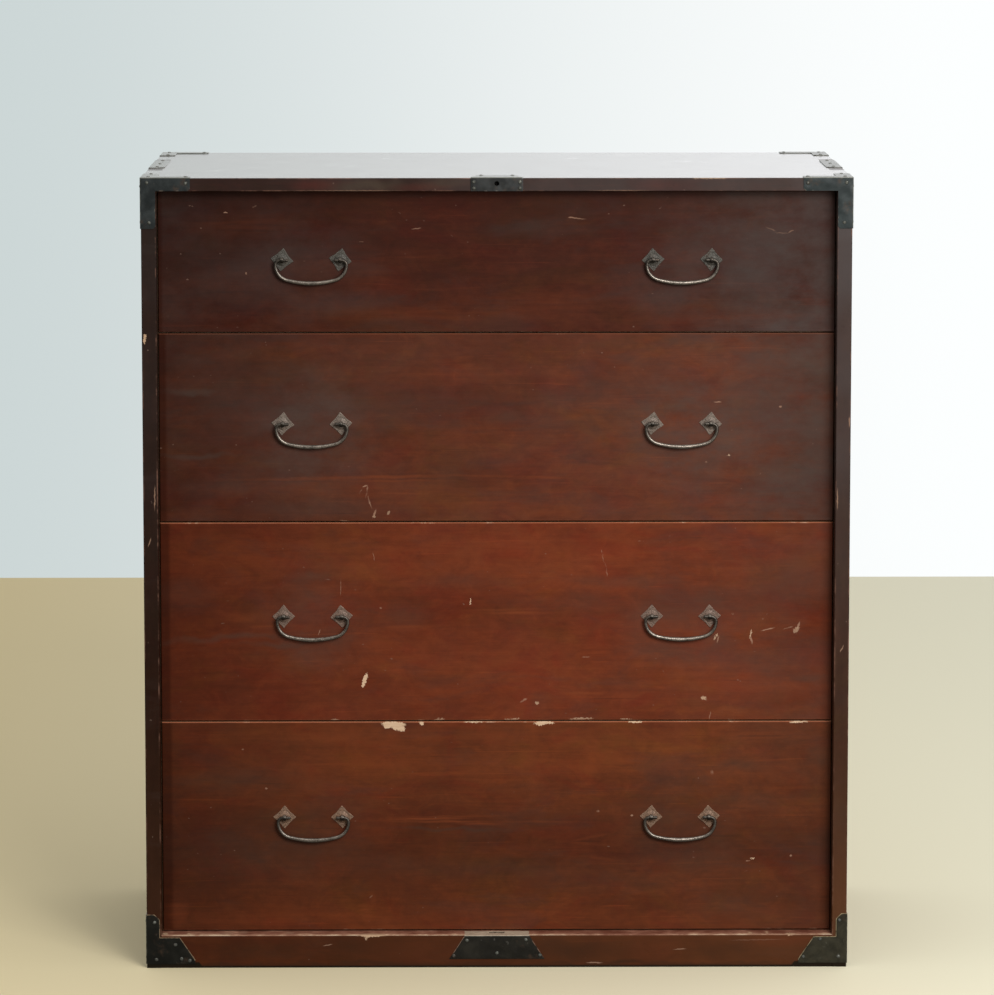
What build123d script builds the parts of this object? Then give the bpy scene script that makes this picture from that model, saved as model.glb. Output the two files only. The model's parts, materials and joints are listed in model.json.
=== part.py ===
from build123d import *
import math
import os

# An isho clothing chest: a plain lacquered case that holds four full-width drawers,
# set back behind the case's front edges, with sheet-iron fittings at the corners.
# Millimetres. The origin is the centre of the case's footprint on the floor,
# X runs to the right, the front faces -Y, and Z is up.

# ---- Case boards ----
CASE_WIDTH = 910.0
CASE_DEPTH = 455.0
SIDE_THICKNESS = 19.0
TOP_THICKNESS = 17.0
BASE_HEIGHT = 42.5
BASE_RAIL_THICKNESS = 30.0
REAR_RAIL_THICKNESS = 18.0
BOTTOM_THICKNESS = 12.0
DIVIDER_THICKNESS = 8.0
BACK_THICKNESS = 8.0
FRONT_RECESS = 25.0

# ---- Case joints ----
CASE_FINGER_COUNT = 7
HOUSING_DEPTH = 5.0
BACK_SIDE_LAP = 9.5
BACK_TOP_LAP = 8.5
BACK_BOARD_COUNT = 4
BACK_BOARD_GAP = 0.5
TENON_LENGTH = 10.0
TENON_SHOULDER = 7.0
ARRIS = 0.8

# ---- Drawers ----
TOP_DRAWER_HEIGHT = 181.5
SECOND_DRAWER_HEIGHT = 244.0
THIRD_DRAWER_HEIGHT = 259.5
LOWEST_DRAWER_HEIGHT = 275.5
DRAWER_GAP = 2.0
DRAWER_FRONT_THICKNESS = 19.0
DRAWER_SIDE_THICKNESS = 9.0
DRAWER_BACK_THICKNESS = 9.0
DRAWER_BOTTOM_THICKNESS = 7.0
DRAWER_SIDE_CLEARANCE = 1.0
DRAWER_TOP_CLEARANCE = 3.0
DRAWER_REAR_CLEARANCE = 2.0
DRAWER_FINGER_PITCH = 38.0
FRONT_SOCKET_DEPTH = 10.0
FRONT_REBATE_DEPTH = 8.0
SEAT_GAP = 0.3

# ---- Bail handles ----
HANDLE_CENTRE = 238.5
POST_HALF_SPACING = 37.5
HANDLE_RISES = (2.5, 5.0, 7.0, 12.0)
PIVOT_STAND_OFF = 6.5
BAIL_END_INSIDE = 8.0
BAIL_END_OUTSIDE = 2.3
BAIL_CORNER_RADIUS = 6.0
BAIL_CORNER_TURN = 90.0
BAIL_ARM_RADIUS = 20.5
BAIL_ARM_TURN = 75.0
BAIL_END_ROD_RADIUS = 2.0
BAIL_ARM_ROD_RADIUS = 2.3
BAIL_BELLY_ROD_RADIUS = 3.0
BAIL_END_ROUNDING = 1.0

# ---- Split pins and the plates behind them ----
EYE_CLEARANCE = 0.08
PIN_STRIP_THICKNESS = 1.6
PIN_STRIP_WIDTH = 4.0
PIN_LEG_LENGTH = 15.0
PIN_HOLE_RADIUS = 2.7
PLATE_HALF_WIDTH = 15.0
PLATE_HALF_HEIGHT = 15.5
PLATE_SIDE_HOLLOW = 0.7
PLATE_THICKNESS = 1.0
BOSS_RADIUS = 7.5
BOSS_HEIGHT = 1.5
PLATE_TURNS = ((-8, -10, 3, -3), (-6, 4, -8, -4), (0, 5, 0, 2), (0, 2, -3, 4))

# ---- Sheet iron ----
IRON_THICKNESS = 1.0
IRON_TIP_CHAMFER = 3.0
TOP_IRON_LEG = 63.0
TOP_IRON_DROP = 65.0
TOP_IRON_BAND = 20.0
TOP_IRON_FRONT_HEIGHT = 16.6
TOP_IRON_STILE_WIDTH = 18.6
EDGE_IRON_LENGTH = 134.0
EDGE_IRON_WIDTH = 20.0
EDGE_IRON_SHIFT = 8.0
EDGE_IRON_CHAMFER = 10.0
FOOT_IRON_HEIGHT = 71.0
FOOT_IRON_CHAMFER = 7.0
FOOT_IRON_STILE_WIDTHS = (17.0, 14.0)
FOOT_IRON_RAIL_HEIGHT = 40.5
FOOT_IRON_SHOULDER = 43.0
FOOT_IRON_REACH = 62.8
FOOT_IRON_TIP_HEIGHT = 11.0
FOOT_IRON_LIFT = 5.5
LOCK_PLATE_WIDTH = 67.0
LOCK_PLATE_FRONT_HEIGHT = 16.8
LOCK_FLAP_DEPTH = 36.0
LOCK_FLAP_REAR_WIDTH = 50.0
LOCK_HOLE_RADIUS = 3.1
LOCK_HOLE_DEPTH = 20.0
LOCK_HOLE_BELOW_TOP = 7.0
BASE_PLATE_TOP_WIDTH = 84.0
BASE_PLATE_BOTTOM_WIDTH = 124.0
BASE_PLATE_LIFT = 11.5
BASE_PLATE_SETBACK = 1.5
SLOT_WIDTH = 20.0
SLOT_LENGTH = 6.5
SLOT_SETBACK = 12.0
SLOT_SINK = 16.0

# ---- Nails ----
NAIL_HEAD_RADIUS = 2.5
NAIL_HEAD_HEIGHT = 1.2
NAIL_SHANK_RADIUS = 0.9
NAIL_LENGTH = 9.0
NAIL_HOLE_CLEARANCE = 0.1

# ---- Nail places: distance from the corner, then height from it ----
TOP_IRON_FRONT_NAILS = ((8.0, -6.0), (57.5, -6.5), (10.5, -57.0))
TOP_IRON_SIDE_NAILS = ((9.0, -11.0), (57.0, -10.0), (10.0, -57.0))
TOP_IRON_TOP_NAILS = ((9.0, 10.0), (57.0, 10.0), (10.0, 57.0))
FOOT_NAILS_LEFT = ((10.3, 60.5), (37.0, 31.0), (12.2, 11.5), (45.0, 12.5), (55.8, 10.0))
FOOT_NAILS_RIGHT = ((9.3, 62.0), (34.5, 37.0), (10.6, 14.0), (56.3, 13.7))
FOOT_SIDE_NAILS = ((9.0, 61.0), (36.0, 32.0), (12.0, 12.0), (54.0, 11.0))
EDGE_IRON_NAILS = (-54.0, 0.0, 54.0)
LOCK_PLATE_NAILS = ((-29.5, 5.0), (29.5, 5.0), (-29.5, 13.0), (29.5, 13.0))
LOCK_FLAP_NAILS = ((-20.0, 29.0), (20.0, 29.0))
BASE_PLATE_NAILS = ((-39.0, 36.0), (37.6, 37.0), (-55.9, 15.8), (56.3, 16.5), (0.0, 19.3))

# ---- Places worked out from the sizes above ----
HALF_WIDTH = CASE_WIDTH / 2
HALF_DEPTH = CASE_DEPTH / 2
DRAWER_FRONT_HEIGHTS = (TOP_DRAWER_HEIGHT, SECOND_DRAWER_HEIGHT, THIRD_DRAWER_HEIGHT, LOWEST_DRAWER_HEIGHT)
DRAWER_COUNT = len(DRAWER_FRONT_HEIGHTS)
OPENING_HEIGHT = sum(DRAWER_FRONT_HEIGHTS) + (DRAWER_COUNT + 1) * DRAWER_GAP
TOP_UNDERSIDE = BASE_HEIGHT + OPENING_HEIGHT
CASE_HEIGHT = TOP_UNDERSIDE + TOP_THICKNESS
INNER_HALF_WIDTH = HALF_WIDTH - SIDE_THICKNESS
BACK_FRONT_Y = HALF_DEPTH - BACK_THICKNESS
BOTTOM_UNDERSIDE = BASE_HEIGHT - BOTTOM_THICKNESS
BASE_RAIL_REAR_Y = BASE_RAIL_THICKNESS - HALF_DEPTH
BACK_HALF_WIDTH = INNER_HALF_WIDTH + BACK_SIDE_LAP
BACK_TOP_Z = TOP_UNDERSIDE + BACK_TOP_LAP
DRAWER_FACE_Y = FRONT_RECESS - HALF_DEPTH
DRAWER_FRONT_REAR_Y = DRAWER_FACE_Y + DRAWER_FRONT_THICKNESS
DIVIDER_FRONT_Y = DRAWER_FRONT_REAR_Y + SEAT_GAP
DRAWER_REAR_Y = BACK_FRONT_Y - DRAWER_REAR_CLEARANCE
DRAWER_BACK_FRONT_Y = DRAWER_REAR_Y - DRAWER_BACK_THICKNESS
DRAWER_HALF_WIDTH = INNER_HALF_WIDTH - DRAWER_SIDE_CLEARANCE
DRAWER_INNER_HALF_WIDTH = DRAWER_HALF_WIDTH - DRAWER_SIDE_THICKNESS
PIVOT_Y = DRAWER_FACE_Y - PIVOT_STAND_OFF
BAIL_WIDEST = POST_HALF_SPACING + BAIL_END_OUTSIDE + BAIL_CORNER_RADIUS
BAIL_BELLY_HALF = BAIL_WIDEST - BAIL_ARM_RADIUS * (1 - math.cos(math.radians(BAIL_ARM_TURN)))
BAIL_BELLY_RADIUS = BAIL_BELLY_HALF / math.sin(math.radians(BAIL_CORNER_TURN - BAIL_ARM_TURN))
SIDES = {"left": -1, "right": 1}

# ---- Faces that the irons are laid on, seen from outside at the front left corner ----
FRONT_TOP_FACE = Plane((-HALF_WIDTH, -HALF_DEPTH, CASE_HEIGHT), x_dir=(1, 0, 0), z_dir=(0, -1, 0))
SIDE_TOP_FACE = Plane((-HALF_WIDTH, -HALF_DEPTH, CASE_HEIGHT), x_dir=(0, 0, 1), z_dir=(-1, 0, 0))
TOP_FACE = Plane((-HALF_WIDTH, -HALF_DEPTH, CASE_HEIGHT), x_dir=(1, 0, 0), z_dir=(0, 0, 1))
FRONT_FOOT_FACE = Plane((-HALF_WIDTH, -HALF_DEPTH, 0), x_dir=(1, 0, 0), z_dir=(0, -1, 0))
SIDE_FOOT_FACE = Plane((-HALF_WIDTH, -HALF_DEPTH, 0), x_dir=(0, 0, 1), z_dir=(-1, 0, 0))
FRONT_CENTRE_TOP = Plane((0, -HALF_DEPTH, CASE_HEIGHT), x_dir=(1, 0, 0), z_dir=(0, -1, 0))
FRONT_CENTRE_FOOT = Plane((0, -HALF_DEPTH, 0), x_dir=(1, 0, 0), z_dir=(0, -1, 0))

nail_seats = []


def save(piece, name):
    """Label a finished piece and write it under its own name."""
    piece.label = name
    export_step(piece, f"parts/{name}.step")


def block(x_span, y_span, z_span, mode=Mode.ADD):
    """Box that fills three spans, each given by its two ends in any order."""
    spans = (x_span, y_span, z_span)
    corner = tuple(min(span) for span in spans)
    size = tuple(max(span) - min(span) for span in spans)
    with Locations(corner):
        Box(*size, align=(Align.MIN, Align.MIN, Align.MIN), mode=mode)


def finger_bands(low, high, count, first):
    """Every second one of count equal bands between low and high, starting with band first."""
    pitch = (high - low) / count
    return [(low + i * pitch, low + (i + 1) * pitch) for i in range(first, count, 2)]


def mirrored_seat(seat, side, end=1):
    """The plane of a nail's head, mirrored to the right for side -1 and to the rear for end -1."""
    place = seat.origin
    out = seat.z_dir
    origin = (place.X * side, place.Y * end, place.Z)
    return Plane(origin, z_dir=(out.X * side, out.Y * end, out.Z))


def nail_planes(face, places):
    """Planes on the outer skin of an iron laid on a face, one for each nail place."""
    return [Plane(face * Pos(across, up, IRON_THICKNESS)) for across, up in places]


def pierce(seats):
    """Nail holes through the iron that is being built."""
    with Locations(*seats):
        Hole(NAIL_SHANK_RADIUS + NAIL_HOLE_CLEARANCE, depth=IRON_THICKNESS)


# ======================================================================
# Case
# ======================================================================
def make_side_panel(name, side):
    """Upright side board with its top fingers, housings, mortises and rear rebate."""
    inner = side * INNER_HALF_WIDTH
    housing = (inner, side * (INNER_HALF_WIDTH + HOUSING_DEPTH))
    mortise = (inner, side * (INNER_HALF_WIDTH + TENON_LENGTH))
    with BuildPart() as panel:
        block((inner, side * HALF_WIDTH), (-HALF_DEPTH, HALF_DEPTH), (0, TOP_UNDERSIDE))
        for band in finger_bands(-HALF_DEPTH, HALF_DEPTH, CASE_FINGER_COUNT, 0):
            block((inner, side * HALF_WIDTH), band, (TOP_UNDERSIDE, CASE_HEIGHT))
        front_face = panel.faces().sort_by(Axis.Y)[0]
        chamfer(front_face.edges().filter_by(Axis.Z), ARRIS)
        for low, high in divider_spans():
            block(housing, (DIVIDER_FRONT_Y, BACK_FRONT_Y), (low, high), Mode.SUBTRACT)
        block(housing, (BASE_RAIL_REAR_Y, BACK_FRONT_Y), (BOTTOM_UNDERSIDE, BASE_HEIGHT), Mode.SUBTRACT)
        block(
            (inner, side * BACK_HALF_WIDTH),
            (BACK_FRONT_Y, HALF_DEPTH),
            (BOTTOM_UNDERSIDE, BACK_TOP_Z),
            Mode.SUBTRACT,
        )
        block(mortise, *front_tenon_spans(), Mode.SUBTRACT)
        block(mortise, *rear_tenon_spans(), Mode.SUBTRACT)
    save(panel.part, name)


def divider_spans():
    """Heights of the dividers' undersides and tops, from the top divider down."""
    return [(shelf - DIVIDER_THICKNESS, shelf) for shelf in drawer_shelves()[:-1]]


def drawer_shelves():
    """Height of the surface under each drawer, from the top drawer down."""
    shelves = [BASE_HEIGHT]
    for height in reversed(DRAWER_FRONT_HEIGHTS[1:]):
        shelves.insert(0, shelves[0] + DRAWER_GAP + height)
    return shelves


def front_tenon_spans():
    """Depth and height spans of the front rail's tenons."""
    depth = (TENON_SHOULDER - HALF_DEPTH, BASE_RAIL_REAR_Y - TENON_SHOULDER)
    return depth, (TENON_SHOULDER, BASE_HEIGHT - TENON_SHOULDER)


def rear_tenon_spans():
    """Depth and height spans of the rear rail's tenons."""
    shoulder = TENON_SHOULDER / 2
    depth = (HALF_DEPTH - REAR_RAIL_THICKNESS + shoulder, HALF_DEPTH - shoulder)
    return depth, (shoulder, BOTTOM_UNDERSIDE - shoulder)


def make_top_board():
    """Top board with end fingers, a rebate for the back and the hole for the lock bolt."""
    with BuildPart() as board:
        block((-INNER_HALF_WIDTH, INNER_HALF_WIDTH), (-HALF_DEPTH, HALF_DEPTH), (TOP_UNDERSIDE, CASE_HEIGHT))
        front_face = board.faces().sort_by(Axis.Y)[0]
        chamfer(front_face.edges().filter_by(Axis.X), ARRIS)
        for band in finger_bands(-HALF_DEPTH, HALF_DEPTH, CASE_FINGER_COUNT, 1):
            block((-HALF_WIDTH, HALF_WIDTH), band, (TOP_UNDERSIDE, CASE_HEIGHT))
        block(
            (-BACK_HALF_WIDTH, BACK_HALF_WIDTH),
            (BACK_FRONT_Y, HALF_DEPTH),
            (TOP_UNDERSIDE, BACK_TOP_Z),
            Mode.SUBTRACT,
        )
        with Locations(FRONT_CENTRE_TOP * Pos(0, -LOCK_HOLE_BELOW_TOP, 0)):
            Hole(LOCK_HOLE_RADIUS, depth=LOCK_HOLE_DEPTH)
    save(board.part, "top_board")


def make_bottom_board():
    """Board under the lowest drawer, housed in both sides."""
    reach = INNER_HALF_WIDTH + HOUSING_DEPTH
    with BuildPart() as board:
        block((-reach, reach), (BASE_RAIL_REAR_Y, BACK_FRONT_Y), (BOTTOM_UNDERSIDE, BASE_HEIGHT))
    save(board.part, "bottom_board")


def make_dividers():
    """Thin full-depth boards between the drawers, each with its top level with a drawer front."""
    reach = INNER_HALF_WIDTH + HOUSING_DEPTH
    for number, span in enumerate(divider_spans(), start=1):
        with BuildPart() as divider:
            block((-reach, reach), (DIVIDER_FRONT_Y, BACK_FRONT_Y), span)
        save(divider.part, f"divider_{number}")


def make_base_rails():
    """Front rail with the ledge that the base plate is let into, and the plain rear rail."""
    tenon_reach = INNER_HALF_WIDTH + TENON_LENGTH
    slot_y = (SLOT_SETBACK - HALF_DEPTH, SLOT_SETBACK + SLOT_LENGTH - HALF_DEPTH)
    half_slot = SLOT_WIDTH / 2
    with BuildPart() as front_rail:
        block((-INNER_HALF_WIDTH, INNER_HALF_WIDTH), (-HALF_DEPTH, BASE_RAIL_REAR_Y), (0, BASE_HEIGHT))
        front_face = front_rail.faces().sort_by(Axis.Y)[0]
        chamfer(front_face.edges().filter_by(Axis.X), ARRIS)
        block((-tenon_reach, tenon_reach), *front_tenon_spans())
        block(*base_flange_spans(), Mode.SUBTRACT)
        block((-half_slot, half_slot), slot_y, (BASE_HEIGHT - SLOT_SINK, BASE_HEIGHT), Mode.SUBTRACT)
    save(front_rail.part, "base_front_rail")
    rear_y = (HALF_DEPTH - REAR_RAIL_THICKNESS, HALF_DEPTH)
    with BuildPart() as rear_rail:
        block((-INNER_HALF_WIDTH, INNER_HALF_WIDTH), rear_y, (0, BOTTOM_UNDERSIDE))
        block((-tenon_reach, tenon_reach), *rear_tenon_spans())
    save(rear_rail.part, "base_rear_rail")


def base_flange_spans():
    """Space of the base plate's flange, let into the ledge so that the drawer passes over it."""
    half = BASE_PLATE_TOP_WIDTH / 2
    depth = (-HALF_DEPTH, DRAWER_FACE_Y - BASE_PLATE_SETBACK)
    return (-half, half), depth, (BASE_HEIGHT - IRON_THICKNESS, BASE_HEIGHT)


def make_back_boards():
    """Horizontal back boards in the rear rebate, one above the other with shrinkage gaps."""
    pitch = (BACK_TOP_Z - BOTTOM_UNDERSIDE + BACK_BOARD_GAP) / BACK_BOARD_COUNT
    with BuildPart() as boards:
        for index in range(BACK_BOARD_COUNT):
            low = BOTTOM_UNDERSIDE + index * pitch
            span = (low, low + pitch - BACK_BOARD_GAP)
            block((-BACK_HALF_WIDTH, BACK_HALF_WIDTH), (BACK_FRONT_Y, HALF_DEPTH), span)
    save(boards.part, "back_boards")


# ======================================================================
# Drawers
# ======================================================================
def make_drawer(number, shelf, height, ceiling, pivot_z, turns):
    """One drawer: front, two sides, back, bottom, and its handle plates and split pins."""
    base = shelf + SEAT_GAP
    box_low = base + DRAWER_BOTTOM_THICKNESS
    box_high = ceiling - DRAWER_TOP_CLEARANCE
    count = 2 * round((box_high - box_low) / DRAWER_FINGER_PITCH / 2) + 1
    side_bands = finger_bands(box_low, box_high, count, 1)
    back_bands = finger_bands(box_low, box_high, count, 0)
    posts = post_places(pivot_z)
    name = f"drawer_{number}"
    make_drawer_front(f"{name}_front", shelf + DRAWER_GAP, height, box_low, side_bands, posts)
    for hand, side in SIDES.items():
        make_drawer_side(f"{name}_{hand}_side", side, (box_low, box_high), side_bands)
    make_drawer_back(f"{name}_back", (box_low, box_high), back_bands)
    make_drawer_bottom(f"{name}_bottom", (base, box_low))
    make_handle_plates(f"{name}_handle_plates", posts, turns)
    make_split_pins(f"{name}_split_pins", posts)


def post_places(pivot_z):
    """Across and up places of a drawer's four handle posts, from left to right."""
    offsets = (-POST_HALF_SPACING, POST_HALF_SPACING)
    return [(side * HANDLE_CENTRE + offset, pivot_z) for side in SIDES.values() for offset in offsets]


def make_drawer_front(name, low, height, rebate_top, bands, posts):
    """Drawer front with blind sockets for the sides, a rebate for the bottom and pin holes."""
    rear = DRAWER_FRONT_REAR_Y
    with BuildPart() as front:
        block((-DRAWER_HALF_WIDTH, DRAWER_HALF_WIDTH), (DRAWER_FACE_Y, rear), (low, low + height))
        chamfer(front.faces().sort_by(Axis.Y)[0].edges(), ARRIS)
        block(
            (-DRAWER_HALF_WIDTH, DRAWER_HALF_WIDTH),
            (rear - FRONT_REBATE_DEPTH, rear),
            (low, rebate_top),
            Mode.SUBTRACT,
        )
        for side in SIDES.values():
            ends = (side * DRAWER_INNER_HALF_WIDTH, side * DRAWER_HALF_WIDTH)
            for band in bands:
                block(ends, (rear - FRONT_SOCKET_DEPTH, rear), band, Mode.SUBTRACT)
        with Locations(*[Plane((x, DRAWER_FACE_Y, z), z_dir=(0, -1, 0)) for x, z in posts]):
            Hole(PIN_HOLE_RADIUS, depth=DRAWER_FRONT_THICKNESS)
    save(front.part, name)


def make_drawer_side(name, side, z_span, bands):
    """Drawer side whose fingers enter the front's sockets and pass through the back's ends."""
    ends = (side * DRAWER_INNER_HALF_WIDTH, side * DRAWER_HALF_WIDTH)
    with BuildPart() as board:
        block(ends, (DRAWER_FRONT_REAR_Y, DRAWER_BACK_FRONT_Y), z_span)
        for band in bands:
            block(ends, (DRAWER_FRONT_REAR_Y - FRONT_SOCKET_DEPTH, DRAWER_REAR_Y), band)
    save(board.part, name)


def make_drawer_back(name, z_span, bands):
    """Drawer back between the sides, with through fingers at both ends."""
    depth = (DRAWER_BACK_FRONT_Y, DRAWER_REAR_Y)
    with BuildPart() as board:
        block((-DRAWER_INNER_HALF_WIDTH, DRAWER_INNER_HALF_WIDTH), depth, z_span)
        for band in bands:
            block((-DRAWER_HALF_WIDTH, DRAWER_HALF_WIDTH), depth, band)
    save(board.part, name)


def make_drawer_bottom(name, z_span):
    """Drawer bottom, fixed under the sides and back and let into the front's rebate."""
    depth = (DRAWER_FRONT_REAR_Y - FRONT_REBATE_DEPTH, DRAWER_REAR_Y)
    with BuildPart() as board:
        block((-DRAWER_HALF_WIDTH, DRAWER_HALF_WIDTH), depth, z_span)
    save(board.part, name)


# ======================================================================
# Handles
# ======================================================================
def make_handle_plates(name, posts, turns):
    """Four lozenge plates with hollow sides and a domed boss, one behind each split pin."""
    corners = [
        (PLATE_HALF_WIDTH, 0),
        (0, PLATE_HALF_HEIGHT),
        (-PLATE_HALF_WIDTH, 0),
        (0, -PLATE_HALF_HEIGHT),
    ]
    boss_sphere = (BOSS_RADIUS**2 + BOSS_HEIGHT**2) / (2 * BOSS_HEIGHT)
    with BuildPart() as plates:
        for (x, z), turn in zip(posts, turns):
            face = Plane((x, DRAWER_FACE_Y, z), x_dir=(1, 0, 0), z_dir=(0, -1, 0))
            seat = Plane(face * Rot(0, 0, turn))
            with BuildSketch(seat):
                with BuildLine():
                    for start, end in zip(corners, corners[1:] + corners[:1]):
                        middle = (Vector(*start) + Vector(*end)) * 0.5
                        hollow = middle - middle.normalized() * PLATE_SIDE_HOLLOW
                        ThreePointArc(start, hollow, end)
                make_face()
            extrude(amount=PLATE_THICKNESS)
            profile_plane = Plane(seat.origin, x_dir=seat.x_dir, z_dir=-seat.y_dir)
            with BuildSketch(profile_plane):
                with BuildLine():
                    rim = (BOSS_RADIUS, PLATE_THICKNESS)
                    crown = (0, PLATE_THICKNESS + BOSS_HEIGHT)
                    RadiusArc(rim, crown, -boss_sphere)
                    Polyline(crown, (0, 0), (BOSS_RADIUS, 0), rim)
                make_face()
            revolve(axis=Axis(seat.origin, seat.z_dir))
            with Locations(seat.offset(PLATE_THICKNESS + BOSS_HEIGHT)):
                Hole(PIN_HOLE_RADIUS, depth=PLATE_THICKNESS + BOSS_HEIGHT)
    save(plates.part, name)


def make_split_pins(name, posts):
    """Four iron strips, each bent round the bail's end and splayed behind the drawer front."""
    inner = BAIL_END_ROD_RADIUS + EYE_CLEARANCE
    outer = inner + PIN_STRIP_THICKNESS
    leg_rear = DRAWER_FRONT_REAR_Y + PIN_STRIP_THICKNESS
    leg_height = 2 * (PIN_LEG_LENGTH + PIN_STRIP_THICKNESS)
    with BuildPart() as pins:
        for x, z in posts:
            with BuildSketch(Plane.YZ.offset(x - PIN_STRIP_WIDTH / 2)):
                with Locations((PIVOT_Y, z)):
                    Circle(outer)
                with Locations(((PIVOT_Y + leg_rear) / 2, z)):
                    Rectangle(leg_rear - PIVOT_Y, 2 * PIN_STRIP_THICKNESS)
                with Locations((leg_rear - PIN_STRIP_THICKNESS / 2, z)):
                    Rectangle(PIN_STRIP_THICKNESS, leg_height)
                with Locations((PIVOT_Y, z)):
                    Circle(inner, mode=Mode.SUBTRACT)
            extrude(amount=PIN_STRIP_WIDTH)
    save(pins.part, name)


def bail_path():
    """Right half of a bail's centre line about its pivot, from the end in the pin to the belly."""
    with BuildLine(Plane.XZ) as path:
        end = Line((POST_HALF_SPACING - BAIL_END_INSIDE, 0), (POST_HALF_SPACING + BAIL_END_OUTSIDE, 0))
        corner = JernArc(end @ 1, end % 1, BAIL_CORNER_RADIUS, -BAIL_CORNER_TURN)
        arm = JernArc(corner @ 1, corner % 1, BAIL_ARM_RADIUS, -BAIL_ARM_TURN)
        JernArc(arm @ 1, arm % 1, BAIL_BELLY_RADIUS, BAIL_ARM_TURN - BAIL_CORNER_TURN)
    return path.edges()


def make_bail():
    """Drop handle forged thick in the middle, its thin ends turned in through the split pins."""
    runs = bail_path()
    radii = (
        BAIL_END_ROD_RADIUS,
        BAIL_END_ROD_RADIUS,
        BAIL_END_ROD_RADIUS,
        BAIL_ARM_ROD_RADIUS,
        BAIL_BELLY_ROD_RADIUS,
    )
    with BuildPart() as bail:
        for run, thin, thick in zip(runs, radii, radii[1:]):
            with BuildSketch(Plane(run @ 0, z_dir=run % 0)) as start:
                Circle(thin)
            with BuildSketch(Plane(run @ 1, z_dir=run % 1)) as finish:
                Circle(thick)
            sweep(sections=[start.sketch.face(), finish.sketch.face()], path=Wire([run]), multisection=True)
        fillet(bail.faces().sort_by(Axis.X)[0].edges(), BAIL_END_ROUNDING)
        mirror(about=Plane.YZ)
    return bail.part


# ======================================================================
# Sheet iron
# ======================================================================
def angle_outline(run, run_width, drop, drop_width):
    """Corners of an L with chamfered tips: run along the first axis, drop along the second."""
    tip = IRON_TIP_CHAMFER
    return [
        (-IRON_THICKNESS, -IRON_THICKNESS),
        (run, -IRON_THICKNESS),
        (run, run_width - tip),
        (run - tip, run_width),
        (drop_width, run_width),
        (drop_width, drop - tip),
        (drop_width - tip, drop),
        (-IRON_THICKNESS, drop),
    ]


def foot_outline(stile_width):
    """Corners of a foot iron: a tall leg up the stile and a sloping leg along the base rail."""
    return [
        (-IRON_THICKNESS, FOOT_IRON_LIFT),
        (FOOT_IRON_REACH, FOOT_IRON_LIFT),
        (FOOT_IRON_REACH, FOOT_IRON_TIP_HEIGHT),
        (FOOT_IRON_SHOULDER, FOOT_IRON_RAIL_HEIGHT),
        (stile_width, FOOT_IRON_RAIL_HEIGHT),
        (stile_width, FOOT_IRON_HEIGHT - FOOT_IRON_CHAMFER),
        (stile_width - FOOT_IRON_CHAMFER, FOOT_IRON_HEIGHT),
        (-IRON_THICKNESS, FOOT_IRON_HEIGHT),
    ]


def swapped(points):
    """Points with their two coordinates exchanged, for the faces drawn with height first."""
    return [(second, first) for first, second in points]


def make_top_corner_irons():
    """Three-legged irons over the four top corners, all from one pattern."""
    front = angle_outline(TOP_IRON_LEG, TOP_IRON_FRONT_HEIGHT, TOP_IRON_DROP, TOP_IRON_STILE_WIDTH)
    side = angle_outline(TOP_IRON_LEG, TOP_IRON_BAND, TOP_IRON_DROP, TOP_IRON_BAND)
    top = angle_outline(TOP_IRON_LEG, TOP_IRON_BAND, TOP_IRON_LEG, TOP_IRON_BAND)
    seats = nail_planes(FRONT_TOP_FACE, TOP_IRON_FRONT_NAILS)
    seats += nail_planes(SIDE_TOP_FACE, swapped(TOP_IRON_SIDE_NAILS))
    seats += nail_planes(TOP_FACE, TOP_IRON_TOP_NAILS)
    with BuildPart() as iron:
        with BuildSketch(FRONT_TOP_FACE):
            Polygon(*[(across, -down) for across, down in front], align=None)
        with BuildSketch(SIDE_TOP_FACE):
            Polygon(*[(-down, across) for across, down in side], align=None)
        with BuildSketch(TOP_FACE):
            Polygon(*top, align=None)
        extrude(amount=IRON_THICKNESS)
        pierce(seats)
    for end_name, end in (("front", 1), ("rear", -1)):
        lengthwise = iron.part if end == 1 else mirror(iron.part, about=Plane.XZ, mode=Mode.PRIVATE)
        across = mirror(lengthwise, about=Plane.YZ, mode=Mode.PRIVATE)
        save(lengthwise, f"top_{end_name}_left_corner_iron")
        save(across, f"top_{end_name}_right_corner_iron")
        for side_sign in (1, -1):
            nail_seats.extend(mirrored_seat(seat, side_sign, end) for seat in seats)


def make_foot_irons():
    """Irons round the two front feet; the right one has a narrower leg and its own nails."""
    patterns = zip(SIDES.items(), FOOT_IRON_STILE_WIDTHS, (FOOT_NAILS_LEFT, FOOT_NAILS_RIGHT))
    for (hand, side), stile_width, nails in patterns:
        outline = foot_outline(stile_width)
        seats = nail_planes(FRONT_FOOT_FACE, nails)
        seats += nail_planes(SIDE_FOOT_FACE, swapped(FOOT_SIDE_NAILS))
        with BuildPart() as iron:
            with BuildSketch(FRONT_FOOT_FACE):
                Polygon(*outline, align=None)
            with BuildSketch(SIDE_FOOT_FACE):
                Polygon(*swapped(outline), align=None)
            extrude(amount=IRON_THICKNESS)
            pierce(seats)
        placed = iron.part if side == -1 else mirror(iron.part, about=Plane.YZ, mode=Mode.PRIVATE)
        save(placed, f"front_{hand}_foot_iron")
        nail_seats.extend(mirrored_seat(seat, -side) for seat in seats)


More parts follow.
